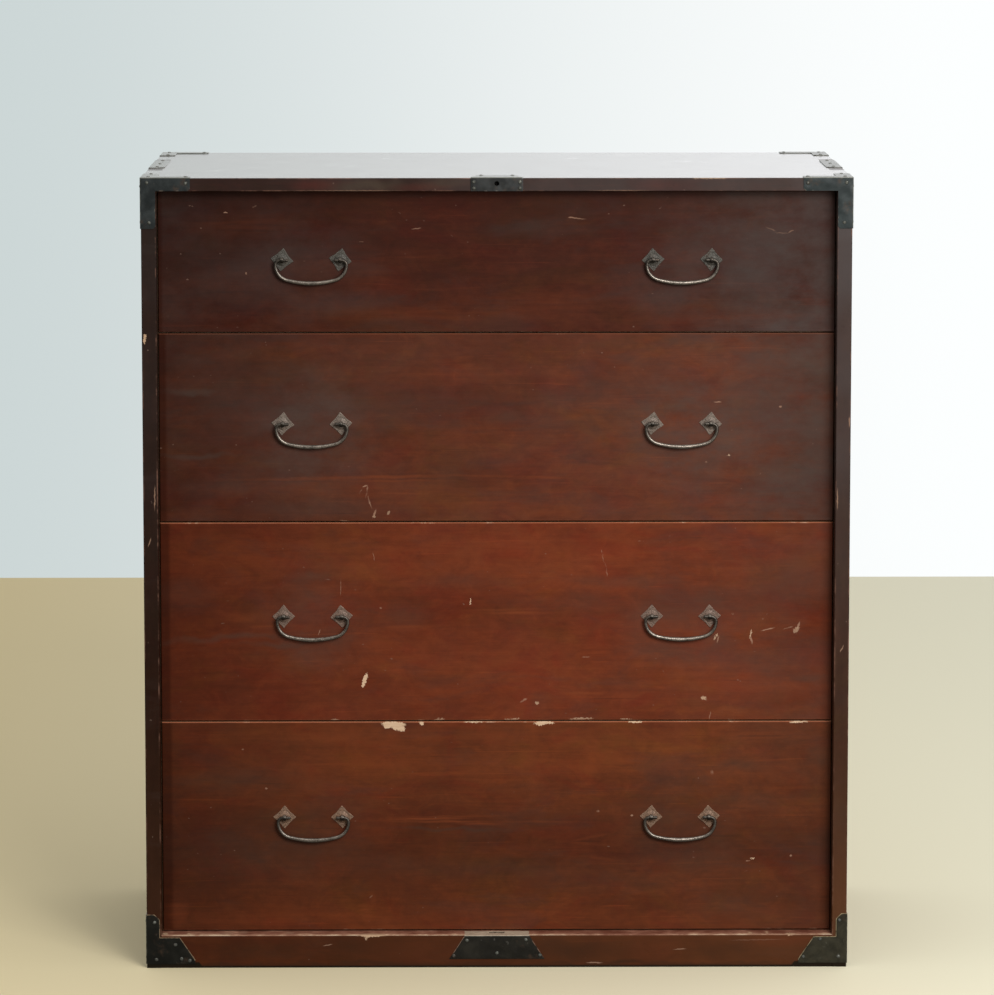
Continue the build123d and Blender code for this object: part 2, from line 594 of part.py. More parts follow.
def make_edge_irons():
    """Irons folded over the middle of the top's left and right edges."""
    half = EDGE_IRON_LENGTH / 2
    middle = HALF_DEPTH + EDGE_IRON_SHIFT
    outline = [
        (-IRON_THICKNESS, middle - half),
        (EDGE_IRON_WIDTH - EDGE_IRON_CHAMFER, middle - half),
        (EDGE_IRON_WIDTH, middle - half + EDGE_IRON_CHAMFER),
        (EDGE_IRON_WIDTH, middle + half - EDGE_IRON_CHAMFER),
        (EDGE_IRON_WIDTH - EDGE_IRON_CHAMFER, middle + half),
        (-IRON_THICKNESS, middle + half),
    ]
    places = [(EDGE_IRON_WIDTH / 2, middle + shift) for shift in EDGE_IRON_NAILS]
    seats = nail_planes(TOP_FACE, places)
    seats += nail_planes(SIDE_TOP_FACE, [(-down, along) for down, along in places])
    with BuildPart() as iron:
        with BuildSketch(TOP_FACE):
            Polygon(*outline, align=None)
        with BuildSketch(SIDE_TOP_FACE):
            Polygon(*[(-down, along) for down, along in outline], align=None)
        extrude(amount=IRON_THICKNESS)
        pierce(seats)
    save(iron.part, "left_edge_iron")
    save(mirror(iron.part, about=Plane.YZ, mode=Mode.PRIVATE), "right_edge_iron")
    for side in (1, -1):
        nail_seats.extend(mirrored_seat(seat, side) for seat in seats)


def make_lock_plate():
    """Plate on the middle of the top's front edge, folded back over the top, with a bolt hole."""
    half = LOCK_PLATE_WIDTH / 2
    rear_half = LOCK_FLAP_REAR_WIDTH / 2
    flap = [
        (-half, -IRON_THICKNESS),
        (half, -IRON_THICKNESS),
        (half, 0),
        (rear_half, LOCK_FLAP_DEPTH),
        (-rear_half, LOCK_FLAP_DEPTH),
        (-half, 0),
    ]
    top_plane = Plane((0, -HALF_DEPTH, CASE_HEIGHT), x_dir=(1, 0, 0), z_dir=(0, 0, 1))
    seats = nail_planes(FRONT_CENTRE_TOP, [(across, -down) for across, down in LOCK_PLATE_NAILS])
    seats += nail_planes(top_plane, LOCK_FLAP_NAILS)
    with BuildPart() as plate:
        with BuildSketch(top_plane):
            Polygon(*flap, align=None)
        with BuildSketch(FRONT_CENTRE_TOP):
            Rectangle(LOCK_PLATE_WIDTH, LOCK_PLATE_FRONT_HEIGHT, align=(Align.CENTER, Align.MAX))
        extrude(amount=IRON_THICKNESS)
        with Locations(FRONT_CENTRE_TOP * Pos(0, -LOCK_HOLE_BELOW_TOP, IRON_THICKNESS)):
            Hole(LOCK_HOLE_RADIUS, depth=IRON_THICKNESS)
        pierce(seats)
    save(plate.part, "lock_plate")
    nail_seats.extend(seats)


def make_base_plate():
    """Plate on the middle of the base rail, folded back over the ledge, with a tongue slot."""
    top_half = BASE_PLATE_TOP_WIDTH / 2
    bottom_half = BASE_PLATE_BOTTOM_WIDTH / 2
    apron = [
        (-bottom_half, BASE_PLATE_LIFT),
        (bottom_half, BASE_PLATE_LIFT),
        (top_half, BASE_HEIGHT),
        (-top_half, BASE_HEIGHT),
    ]
    ledge = Plane((0, -HALF_DEPTH, BASE_HEIGHT - IRON_THICKNESS), x_dir=(1, 0, 0), z_dir=(0, 0, 1))
    seats = nail_planes(FRONT_CENTRE_FOOT, BASE_PLATE_NAILS)
    with BuildPart() as plate:
        with BuildSketch(FRONT_CENTRE_FOOT):
            Polygon(*apron, align=None)
        extrude(amount=IRON_THICKNESS)
        block(*base_flange_spans())
        with BuildSketch(ledge):
            with Locations((0, SLOT_SETBACK + SLOT_LENGTH / 2)):
                Rectangle(SLOT_WIDTH, SLOT_LENGTH)
        extrude(amount=IRON_THICKNESS, mode=Mode.SUBTRACT)
        pierce(seats)
    save(plate.part, "base_plate")
    nail_seats.extend(seats)


def make_nails():
    """Round-headed nails, one in each hole of the irons, driven into the wood behind."""
    head_sphere = (NAIL_HEAD_RADIUS**2 + NAIL_HEAD_HEIGHT**2) / (2 * NAIL_HEAD_HEIGHT)
    with BuildPart() as nail:
        with BuildSketch(Plane.XZ):
            with BuildLine():
                rim = (NAIL_HEAD_RADIUS, 0)
                crown = (0, NAIL_HEAD_HEIGHT)
                RadiusArc(rim, crown, -head_sphere)
                shank_end = (NAIL_SHANK_RADIUS, -NAIL_LENGTH)
                Polyline(crown, (0, -NAIL_LENGTH), shank_end, (NAIL_SHANK_RADIUS, 0), rim)
            make_face()
        revolve(axis=Axis.Z)
    with BuildPart() as nails:
        with Locations(*nail_seats):
            add(nail.part)
    save(nails.part, "iron_nails")


def main():
    """Build every piece, from the case inwards and then the iron."""
    os.makedirs("parts", exist_ok=True)
    for hand, side in SIDES.items():
        make_side_panel(f"{hand}_side_panel", side)
    make_top_board()
    make_bottom_board()
    make_dividers()
    make_base_rails()
    make_back_boards()
    bail = make_bail()
    shelves = drawer_shelves()
    ceilings = [TOP_UNDERSIDE] + [low for low, _ in divider_spans()]
    for index, height in enumerate(DRAWER_FRONT_HEIGHTS):
        shelf = shelves[index]
        pivot_z = shelf + DRAWER_GAP + height / 2 + HANDLE_RISES[index]
        make_drawer(index + 1, shelf, height, ceilings[index], pivot_z, PLATE_TURNS[index])
        for hand, side in SIDES.items():
            placed = Pos(side * HANDLE_CENTRE, PIVOT_Y, pivot_z) * bail
            save(placed, f"drawer_{index + 1}_{hand}_bail")
    make_top_corner_irons()
    make_foot_irons()
    make_edge_irons()
    make_lock_plate()
    make_base_plate()
    make_nails()


main()
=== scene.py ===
"""Dresses an isho clothing chest: lacquered boards, bare timber and hand-forged iron.

The origin is the middle of the case's footprint on the floor, X runs to the right, the front
faces -Y and Z is up. Shapes are worked out in millimetres and put into the meshes in metres.
"""

from __future__ import annotations

import json
import logging
import math
from collections.abc import Callable
from dataclasses import dataclass, field
from enum import Enum
from functools import cached_property, reduce
from typing import ClassVar

import bmesh
import bpy
import numpy as np
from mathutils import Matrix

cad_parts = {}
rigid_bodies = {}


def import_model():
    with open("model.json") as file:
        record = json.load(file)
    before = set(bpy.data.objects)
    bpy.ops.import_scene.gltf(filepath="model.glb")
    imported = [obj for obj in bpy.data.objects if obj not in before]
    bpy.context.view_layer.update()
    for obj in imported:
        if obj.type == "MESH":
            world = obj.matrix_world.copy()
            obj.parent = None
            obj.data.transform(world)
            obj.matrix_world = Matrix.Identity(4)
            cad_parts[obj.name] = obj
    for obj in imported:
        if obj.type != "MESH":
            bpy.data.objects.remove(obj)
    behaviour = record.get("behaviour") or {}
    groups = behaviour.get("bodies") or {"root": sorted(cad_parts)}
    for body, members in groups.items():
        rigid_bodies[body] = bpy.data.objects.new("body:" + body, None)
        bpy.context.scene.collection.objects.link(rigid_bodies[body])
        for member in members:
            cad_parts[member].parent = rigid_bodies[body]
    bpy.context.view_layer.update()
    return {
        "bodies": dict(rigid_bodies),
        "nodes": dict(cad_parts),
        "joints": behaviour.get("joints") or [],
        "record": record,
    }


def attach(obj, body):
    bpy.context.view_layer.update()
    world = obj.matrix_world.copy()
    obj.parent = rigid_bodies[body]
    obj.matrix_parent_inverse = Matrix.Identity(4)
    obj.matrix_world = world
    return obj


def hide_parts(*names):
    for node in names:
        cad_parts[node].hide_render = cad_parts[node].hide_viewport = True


LOG = logging.getLogger("isho_chest")
MM = 0.001
CASE_FRONT = -227.5
DRAWER_FRONT = -202.5
NO_FOLD = 1e3
FINE_GRID, WIDE_GRID = 2.2, 2.4

Array, Material, Piece = np.ndarray, bpy.types.Material, bpy.types.Object
Colour = tuple[float, float, float]
Place = tuple[float, float, float]
Pair = tuple[float, float]
Pairs = tuple[Pair, ...]
Numbers = tuple[float, ...]


class Hand(Enum):
    """A side of the chest, seen from the front."""

    LEFT = -1
    RIGHT = 1


class End(Enum):
    """The front or the rear of the case."""

    FRONT = 1
    REAR = -1


class Grain(Enum):
    """Direction of a board's grain, as the turn that lays it along the first axis."""

    ACROSS = (0.0, 0.0, 0.0)
    ALONG = (0.0, 0.0, -math.pi / 2)
    UPRIGHT = (0.0, math.pi / 2, 0.0)


class MarkKind(Enum):
    """A mark on lacquer, as its ripples in a metre, their reach in metres, and its rim and core."""

    CHIP = (450.0, 0.0016, 1.08, 0.86)
    SCRATCH = (260.0, 0.0006, 1.3, 0.6)
    RUB = (30.0, 0.001, 1.8, 0.0)
    STAIN = (28.0, 0.005, 1.7, 0.1)


Marks = dict[MarkKind, tuple[Numbers, ...]]


@dataclass(frozen=True)
class Mark:
    """One mark on a board, in mm.

    Attributes:
        x: Its middle across the chest.
        z: Its middle above the floor.
        half_length: Half of its length.
        half_width: Half of its width.
        strength: How plain it is, 0 to 1.
        turn: Turn of its length from level, degrees, rising to the right when positive.
        y: Depth of the face that it is on, or None for the board's front.
    """

    x: float
    z: float
    half_length: float
    half_width: float
    strength: float = 1.0
    turn: float = 0.0
    y: float | None = None


# ----- Materials -----
def working(operation: str, flipped: bool = False) -> Callable:
    """Makes a method that works out an operation on two numbers.

    Args:
        operation: Blender's name of the operation.
        flipped: Whether the method's own number comes second.

    Returns:
        The method.
    """

    def method(self: Signal, other: Value = 0.0) -> Signal:
        """Works the operation out on this number and another."""
        return self.sheet.math(operation, *((other, self) if flipped else (self, other)))

    return method


class Signal:
    """A number, place or colour worked out at every point, with sums that add nodes to its sheet."""

    def __init__(self, sheet: NodeSheet, socket: bpy.types.NodeSocket) -> None:
        """Wraps one output of a node."""
        self.sheet, self.socket = sheet, socket

    __add__, __radd__ = working("ADD"), working("ADD", True)
    __sub__, __rsub__ = working("SUBTRACT"), working("SUBTRACT", True)
    __mul__, __rmul__ = working("MULTIPLY"), working("MULTIPLY", True)
    __pow__, __abs__ = working("POWER"), working("ABSOLUTE")

    def step(self, low: float, high: float) -> Signal:
        """Rises smoothly from 0 at low to 1 at high, or falls if high is under low."""
        ends = (low, high, 0.0, 1.0) if low <= high else (high, low, 1.0, 0.0)
        return self.ranged(ends, interpolation_type="SMOOTHSTEP")

    def span(self, low: float, high: float) -> Signal:
        """Stretches noise that lies between 0.25 and 0.75 so that it runs from low to high."""
        return self.ranged((0.25, 0.75, low, high), clamp=False)

    def ranged(self, ends: Numbers, **settings: object) -> Signal:
        """Maps the first two ends to the last two."""
        inputs = dict(zip(("From Min", "From Max", "To Min", "To Max"), ends))
        return self.sheet.get(0, "MapRange", {"Value": self, **inputs}, **settings)


Value = float | Signal


class NodeSheet:
    """A node tree, with short names for the nodes that it needs."""

    def __init__(self, tree: bpy.types.NodeTree, coordinates: str = "Object") -> None:
        """Empties a tree and reads the place.

        Args:
            tree: The node tree.
            coordinates: Which of Blender's coordinates give the place.
        """
        self.tree = tree
        self.tree.nodes.clear()
        self.place = self.get(coordinates, "TexCoord")

    @cached_property
    def axes(self) -> tuple[Signal, Signal, Signal]:
        """The point's distances along the three axes."""
        return tuple(Signal(self, output) for output in self.node("SeparateXYZ", {0: self.place}).outputs)

    def node(self, kind: str, inputs: dict | None = None, **settings: object) -> bpy.types.Node:
        """Adds a node.

        Args:
            kind: Blender's name of the node type, without its first word.
            inputs: What its inputs take: signals, numbers or tuples.
            settings: Properties to set on it.

        Returns:
            The new node.
        """
        made = self.tree.nodes.new(f"ShaderNode{kind}")
        for key, value in settings.items():
            setattr(made, key, value)
        for key, value in (inputs or {}).items():
            target = made.inputs[key]
            if isinstance(value, Signal):
                self.tree.links.new(value.socket, target)
            else:
                opaque = target.type == "RGBA" and len(value) == 3
                target.default_value = (*value, 1.0) if opaque else value
        return made

    def get(self, output: str | int, kind: str, inputs: dict | None = None, **settings: object) -> Signal:
        """Adds a node and takes one of its outputs."""
        return Signal(self, self.node(kind, inputs, **settings).outputs[output])

    def math(self, operation: str, first: Value, second: Value = 0.0) -> Signal:
        """Works out a sum, product or other operation on two numbers."""
        return self.get(0, "Math", {0: first, 1: second}, operation=operation)

    def vector(self, operation: str, *places: Signal | Place, output: str | int = 0) -> Signal:
        """Works out an operation on places."""
        return self.get(output, "VectorMath", dict(enumerate(places)), operation=operation)

    def moved(
        self, place: Signal, scale: Place = (1,) * 3, turn: Place = (0,) * 3, shift: Place = (0,) * 3,
        way: str = "POINT",
    ) -> Signal:
        """Scales, turns and shifts a place, or undoes that for the way TEXTURE."""
        inputs = {"Vector": place, "Location": shift, "Rotation": turn, "Scale": scale}
        return self.get(0, "Mapping", inputs, vector_type=way)

    def noise(
        self, stretch: float | Place, detail: float = 3.0, rough: float = 0.5, bend: float = 0.0,
        shift: Place = (0, 0, 0), place: Signal | None = None,
    ) -> Signal:
        """Makes cloudy noise between 0 and 1.

        Args:
            stretch: Number of clouds in a metre, the same on all three axes or for each.
            detail: Number of finer layers.
            rough: Share of the finer layers.
            bend: How far the noise bends itself.
            shift: How far it is moved along the axes, in clouds.
            place: The place, or None for the point's own.

        Returns:
            The noise.
        """
        stretch = stretch if isinstance(stretch, tuple) else (stretch,) * 3
        moved = self.moved(self.place if place is None else place, stretch, shift=shift)
        inputs = {"Vector": moved, "Scale": 1.0, "Detail": detail, "Roughness": rough, "Distortion": bend}
        return self.get(0, "TexNoise", inputs)

    def jittered(self, place: Signal, ripples: float, reach: float) -> Signal:
        """Moves each place a little, so that outlines on it turn ragged.

        Args:
            place: The place.
            ripples: Number of ripples in a metre.
            reach: Furthest that a place moves, metres.

        Returns:
            The moved place.
        """
        noise = self.get("Color", "TexNoise", {"Vector": place, "Scale": ripples})
        centred = self.vector("SUBTRACT", noise, (0.5,) * 3)
        return self.vector("MULTIPLY_ADD", centred, (reach * 4,) * 3, place)

    def highest(self, values: list[Signal]) -> Value:
        """Takes the highest of several numbers, or 0 of none."""
        return reduce(lambda most, value: self.math("MAXIMUM", most, value), values, 0.0)

    def blend(self, share: Value, first: Signal | Colour, second: Signal | Colour, way: str = "MIX") -> Signal:
        """Mixes the second colour into the first by a share."""
        return self.get(2, "Mix", {0: share, 6: first, 7: second}, data_type="RGBA", blend_type=way)

    def layered(self, colour: Signal | Colour, *layers: tuple) -> Signal:
        """Lays colours over a first one, each given as its share, the colour and maybe the way."""
        return reduce(lambda under, layer: self.blend(layer[0], under, *layer[1:]), layers, colour)

    def ramp(self, value: Signal, stops: tuple[tuple[float, Colour], ...]) -> Signal:
        """Turns a number into a colour between given stops.

        Args:
            value: The number.
            stops: Places from 0 to 1, each with its colour.

        Returns:
            The colour.
        """
        made = self.node("ValToRGB", {0: value})
        elements = made.color_ramp.elements
        while len(elements) < len(stops):
            elements.new(0.5)
        for element, (position, colour) in zip(elements, stops):
            element.position, element.color = position, (*colour, 1.0)
        return Signal(self, made.outputs[0])


class Surface(NodeSheet):
    """A material's node tree, with one surface shader."""

    def __init__(self, name: str) -> None:
        """Starts the material.

        Args:
            name: Its name.
        """
        self.material = bpy.data.materials.new(name)
        self.material.use_nodes = True
        super().__init__(self.material.node_tree)
        self.shader = self.node("BsdfPrincipled")
        self.node("OutputMaterial", {0: Signal(self, self.shader.outputs[0])})

    def painted(self, name: str) -> Signal:
        """Reads a value painted at the piece's own points."""
        return self.get("Fac", "Attribute", attribute_name=name)

    def raised(self, height: Signal, depth: float, strength: float) -> None:
        """Lets a height pattern, depth metres high, bend the light by a strength."""
        made = self.node("Bump", {"Strength": strength, "Distance": depth, "Height": height})
        self.tree.links.new(made.outputs[0], self.shader.inputs["Normal"])

    def surface(self, colour: Signal, rough: Value, **fixed: float) -> Material:
        """Finishes the shader.

        Args:
            colour: Base colour.
            rough: Roughness.
            fixed: Other sockets of the shader, with _ for a space, set to plain numbers.

        Returns:
            The material.
        """
        self.tree.links.new(colour.socket, self.shader.inputs["Base Color"])
        if isinstance(rough, Signal):
            self.tree.links.new(rough.socket, self.shader.inputs["Roughness"])
        else:
            fixed["Roughness"] = rough
        for key, value in fixed.items():
            self.shader.inputs[key.replace("_", " ")].default_value = value
        return self.material

    def marked(self, marks: Marks, kind: MarkKind, face: float) -> Value:
        """Works out where the marks of one kind are.

        Each mark is an ellipse: the place is measured from its middle, turned with it and
        divided by its half sizes, and the mark is where the length of that is under 1.

        Args:
            marks: The marks.
            kind: The kind wanted.
            face: Depth of the board's front, mm.

        Returns:
            Each mark's strength inside it, 0 outside all of them.
        """
        ripples, reach, rim, core = kind.value
        found = []
        place = self.jittered(self.place, ripples, reach) if kind in marks else None
        for mark in (Mark(*row) for row in marks.get(kind, ())):
            middle = (mark.x * MM, (face if mark.y is None else mark.y) * MM, mark.z * MM)
            size = (mark.half_length * MM, 7 * MM, mark.half_width * MM)
            moved = self.moved(place, size, (0.0, -math.radians(mark.turn), 0.0), middle, "TEXTURE")
            found.append(self.vector("LENGTH", moved, output="Value").step(rim, core) * mark.strength)
        return self.highest(found)


@dataclass(frozen=True)
class Figure:
    """Colours and drift of a board's grain.

    Attributes:
        dark: Colour of the darkest streaks.
        middle: Colour of most of the wood.
        light: Colour of the brightest streaks.
        seed: Number that sets this board apart from the others.
        drift: How far patches drift towards crimson and orange.
        smoke: Share of grey patches.
    """

    dark: Colour
    middle: Colour
    light: Colour
    seed: float = 0.0
    drift: float = 0.8
    smoke: float = 0.45

    def tone(self, sheet: Surface, grain: Grain) -> tuple[Signal, Signal]:
        """Draws the grain: soft clouds under long bands and fine streaks that drift together.

        Args:
            sheet: The node tree.
            grain: Direction of the grain.

        Returns:
            Tone of the wood, about 0 to 1, and the fine fibre alone.
        """
        laid = sheet.moved(sheet.place, turn=grain.value)
        laid = sheet.moved(laid, shift=(self.seed * 3.7, self.seed * 1.3, self.seed * 0.61))
        broad = sheet.noise((2.6, 14, 20), 5, 0.6, 1.2, place=laid)
        mottle = sheet.noise((22, 16, 36), 5, 0.68, 0.8, place=laid)
        grit = sheet.noise((95, 95, 150), 3, 0.6, place=laid)
        band = sheet.noise((4.5, 44, 78), 5, 0.66, 1.0, place=laid)
        streak = sheet.noise((14, 110, 300), 4, 0.65, 0.6, place=laid)
        fibre = sheet.noise((45, 400, 1000), 2, 0.6, place=laid)
        gleam = sheet.noise((7, 90, 260), 2, bend=0.4, shift=(9, 4, 2), place=laid)
        tone = broad.span(0.36, 0.64) + mottle.span(-0.22, 0.22) + band.span(-0.09, 0.09)
        tone = tone + streak.span(-0.06, 0.06) + fibre.span(-0.04, 0.04) + grit.span(-0.07, 0.07)
        return tone + gleam.step(0.66, 0.75) * 0.24 + gleam.step(0.31, 0.24) * -0.22, fibre

    def coloured(self, sheet: Surface, tone: Signal) -> Signal:
        """Colours the tone, with patches that drift towards crimson, orange and grey.

        Args:
            sheet: The node tree.
            tone: Tone of the wood, about 0 to 1.

        Returns:
            The colour.
        """
        drift = sheet.noise((9, 9, 19), 5, 0.62, 0.7, (self.seed, 0, self.seed))
        smoke = sheet.noise((7, 7, 22), 5, 0.6, 0.5, (self.seed * 2, 1, 0))
        return sheet.layered(
            sheet.ramp(tone, ((0.05, self.dark), (0.5, self.middle), (0.95, self.light))),
            (drift.step(0.5, 0.66) * self.drift, (1.0, 0.8, 0.88), "MULTIPLY"),
            (drift.step(0.48, 0.34) * self.drift, (1.0, 1.16, 0.97), "MULTIPLY"),
            (smoke.step(0.53, 0.7) * self.smoke, (0.044, 0.026, 0.021)),
        )


@dataclass(frozen=True)
class FrontLacquer:
    """Red lacquer over figured softwood, faded, hazed and knocked about, on one drawer front.

    Attributes:
        number: The drawer's number from the top.
        low: Height of the front's lower edge, mm.
        high: Height of its upper edge, mm.
        pivot_z: Height of its handles' pivots, mm.
        figure: The grain's colours.
        lift: Tone added at the lower edge, in the lower third, in the upper third and at the top.
        haze_and_sheen: Share of grey bloom with painted sheen at the left end and the right end, and of grey bloom
            round the handles and elsewhere.
        haze_and_sheen_colour: Colour of the bloom and the painted sheen.
        shade: Share of painted shade that darkens the left and the right end.
        painted_light: Share of painted light that brightens the front right of the middle.
        recess_shade: Where the strip of painted shade in the recess beside the left stile starts, mm, and its share;
            the strip is darker and carries no bloom or sheen.
        bare_edge: Share of the upper and lower arris worn to bare wood.
        marks: Chips, scratches, rubbed patches and stains.
    """

    number: int
    low: float
    high: float
    pivot_z: float
    figure: Figure
    lift: tuple[float, float, float, float]
    haze_and_sheen: tuple[float, float, float, float]
    haze_and_sheen_colour: Colour
    shade: Pair
    painted_light: float
    recess_shade: Pair
    bare_edge: float
    marks: Marks
    HANDLE_X: ClassVar[float] = 0.2385

    def material(self) -> Material:
        """Makes the front's material: lacquer on its face, bare wood behind.

        Returns:
            The material.
        """
        sheet = Surface(f"front_lacquer_{self.number}")
        x, y, z = sheet.axes
        tone, fibre = self.figure.tone(sheet, Grain.ACROSS)
        patches = sheet.noise((3.2, 1, 7), 3, bend=0.5, shift=(self.number * 2.3, 0, 0))
        stops = tuple((place, (0.5 + lift,) * 3) for place, lift in zip((0.0, 0.33, 0.67, 1.0), self.lift))
        profile = sheet.ramp(z.step(self.low * MM, self.high * MM), stops) - 0.5
        tone = tone + profile + patches.span(-0.17, 0.17)
        # painted shade in the recess beside the left stile: the strip is darkened and has no bloom or sheen
        start, share = self.recess_shade
        recess_shade = x.step((start + 3.5) * MM, (start - 2.0) * MM) * share
        # bloom with painted sheen, kept off the strip of painted shade
        bloom_and_sheen = self.bloom_and_sheen(sheet) * (1.0 - recess_shade)
        # painted shade towards both ends of the front
        painted_end_shade = [x.step(-0.12, -0.44) * self.shade[0], x.step(0.26, 0.43) * self.shade[1]]
        colour = sheet.layered(
            self.figure.coloured(sheet, tone),
            (sheet.math("MAXIMUM", *painted_end_shade), (0.3, 0.24, 0.22), "MULTIPLY"),
            # painted light right of the middle
            (x.step(-0.06, 0.1) * x.step(0.4, 0.3) * self.painted_light, (1.3, 1.3, 1.3), "MULTIPLY"),
            (bloom_and_sheen, self.haze_and_sheen_colour),
            # painted shade darkening the recess strip
            (recess_shade * 0.5, (0.022, 0.0045, 0.0016)),
        )
        colour = self.worn(sheet, colour)
        upper = z.step((self.high - 0.4) * MM, (self.high - 0.1) * MM) * (1.0 - self.bare_edge)
        inside = sheet.blend(fibre.span(0, 1), (0.33, 0.21, 0.115), (0.42, 0.285, 0.165))
        inside = sheet.blend(upper, inside, (0.15, 0.047, 0.029))
        colour = sheet.blend(y.step(-0.2003, -0.2012), inside, colour)
        sheet.raised(fibre, 0.00012, 0.5)
        rough = 0.38 + bloom_and_sheen * 0.2 + fibre.span(-0.04, 0.04)
        return sheet.surface(colour, rough, Coat_Weight=0.12, Coat_Roughness=0.17, Specular_IOR_Level=0.08)

    def bloom_and_sheen(self, sheet: Surface) -> Signal:
        """Works out the grey bloom, with painted sheen at both ends, and where hands reach for the handles.

        Args:
            sheet: The node tree.

        Returns:
            Share of the bloom and the painted sheen.
        """
        x, _, z = sheet.axes
        cloud = sheet.noise((13, 1, 21), 5, 0.68, shift=(0, self.number, 0))
        away_x, away_z = abs(x) - self.HANDLE_X, z - (self.pivot_z - 8) * MM
        near = (away_x**2.0 + away_z**2.0) ** 0.5
        # painted sheen: the grey at both ends stands for reflected light as well as bloom
        ends = x.step(-0.17, -0.43) * self.haze_and_sheen[0] + x.step(0.16, 0.43) * self.haze_and_sheen[1]
        return (ends + near.step(0.105, 0.035) * self.haze_and_sheen[2] + self.haze_and_sheen[3]) * cloud.span(0.0, 1.9)

    def worn(self, sheet: Surface, colour: Signal) -> Signal:
        """Lays chips, scratches, specks and worn arrises over the lacquer.

        Args:
            sheet: The node tree.
            colour: The lacquer's colour.

        Returns:
            The worn colour.
        """
        _, y, z = sheet.axes
        outside = y.step(-0.1985, -0.2005)
        bare = sheet.blend(sheet.noise((60, 60, 700)), (0.5, 0.29, 0.165), (0.86, 0.64, 0.43))
        ripple = sheet.noise(30, 5, 0.7)
        drift = sheet.noise((12, 1, 190), 4, 0.6)
        low_edge = z.step((self.low + 1.2) * MM, (self.low + 0.3) * MM) * 0.8
        edges = sheet.math("MAXIMUM", z.step((self.high - 1.7) * MM, (self.high - 0.5) * MM), low_edge)
        rubbed_through = ripple.step(0.73 - self.bare_edge * 0.25, 0.79 - self.bare_edge * 0.14)
        dots = sheet.noise((150, 1, 210), 1.5).step(0.745, 0.79) * sheet.noise((9, 1, 16), 2).step(0.47, 0.6)
        chipped, scratched, rubbed, stained = (sheet.marked(self.marks, kind, DRAWER_FRONT) for kind in MarkKind)
        return sheet.layered(
            colour,
            (edges * ripple.span(self.bare_edge * 0.7, self.bare_edge * 1.2), (0.46, 0.155, 0.075)),
            (stained * ripple.span(0.35, 0.95), tuple(part * 0.78 for part in self.haze_and_sheen_colour)),
            (rubbed * drift.span(0.05, 0.95), (0.215, 0.05, 0.016)),
            (dots * 0.38, (0.27, 0.16, 0.115)),
            (scratched * ripple.step(0.38, 0.56) * 0.72, (0.4, 0.225, 0.145)),
            (edges * rubbed_through * outside, (0.58, 0.35, 0.22)),
            (chipped * outside, bare),
        )


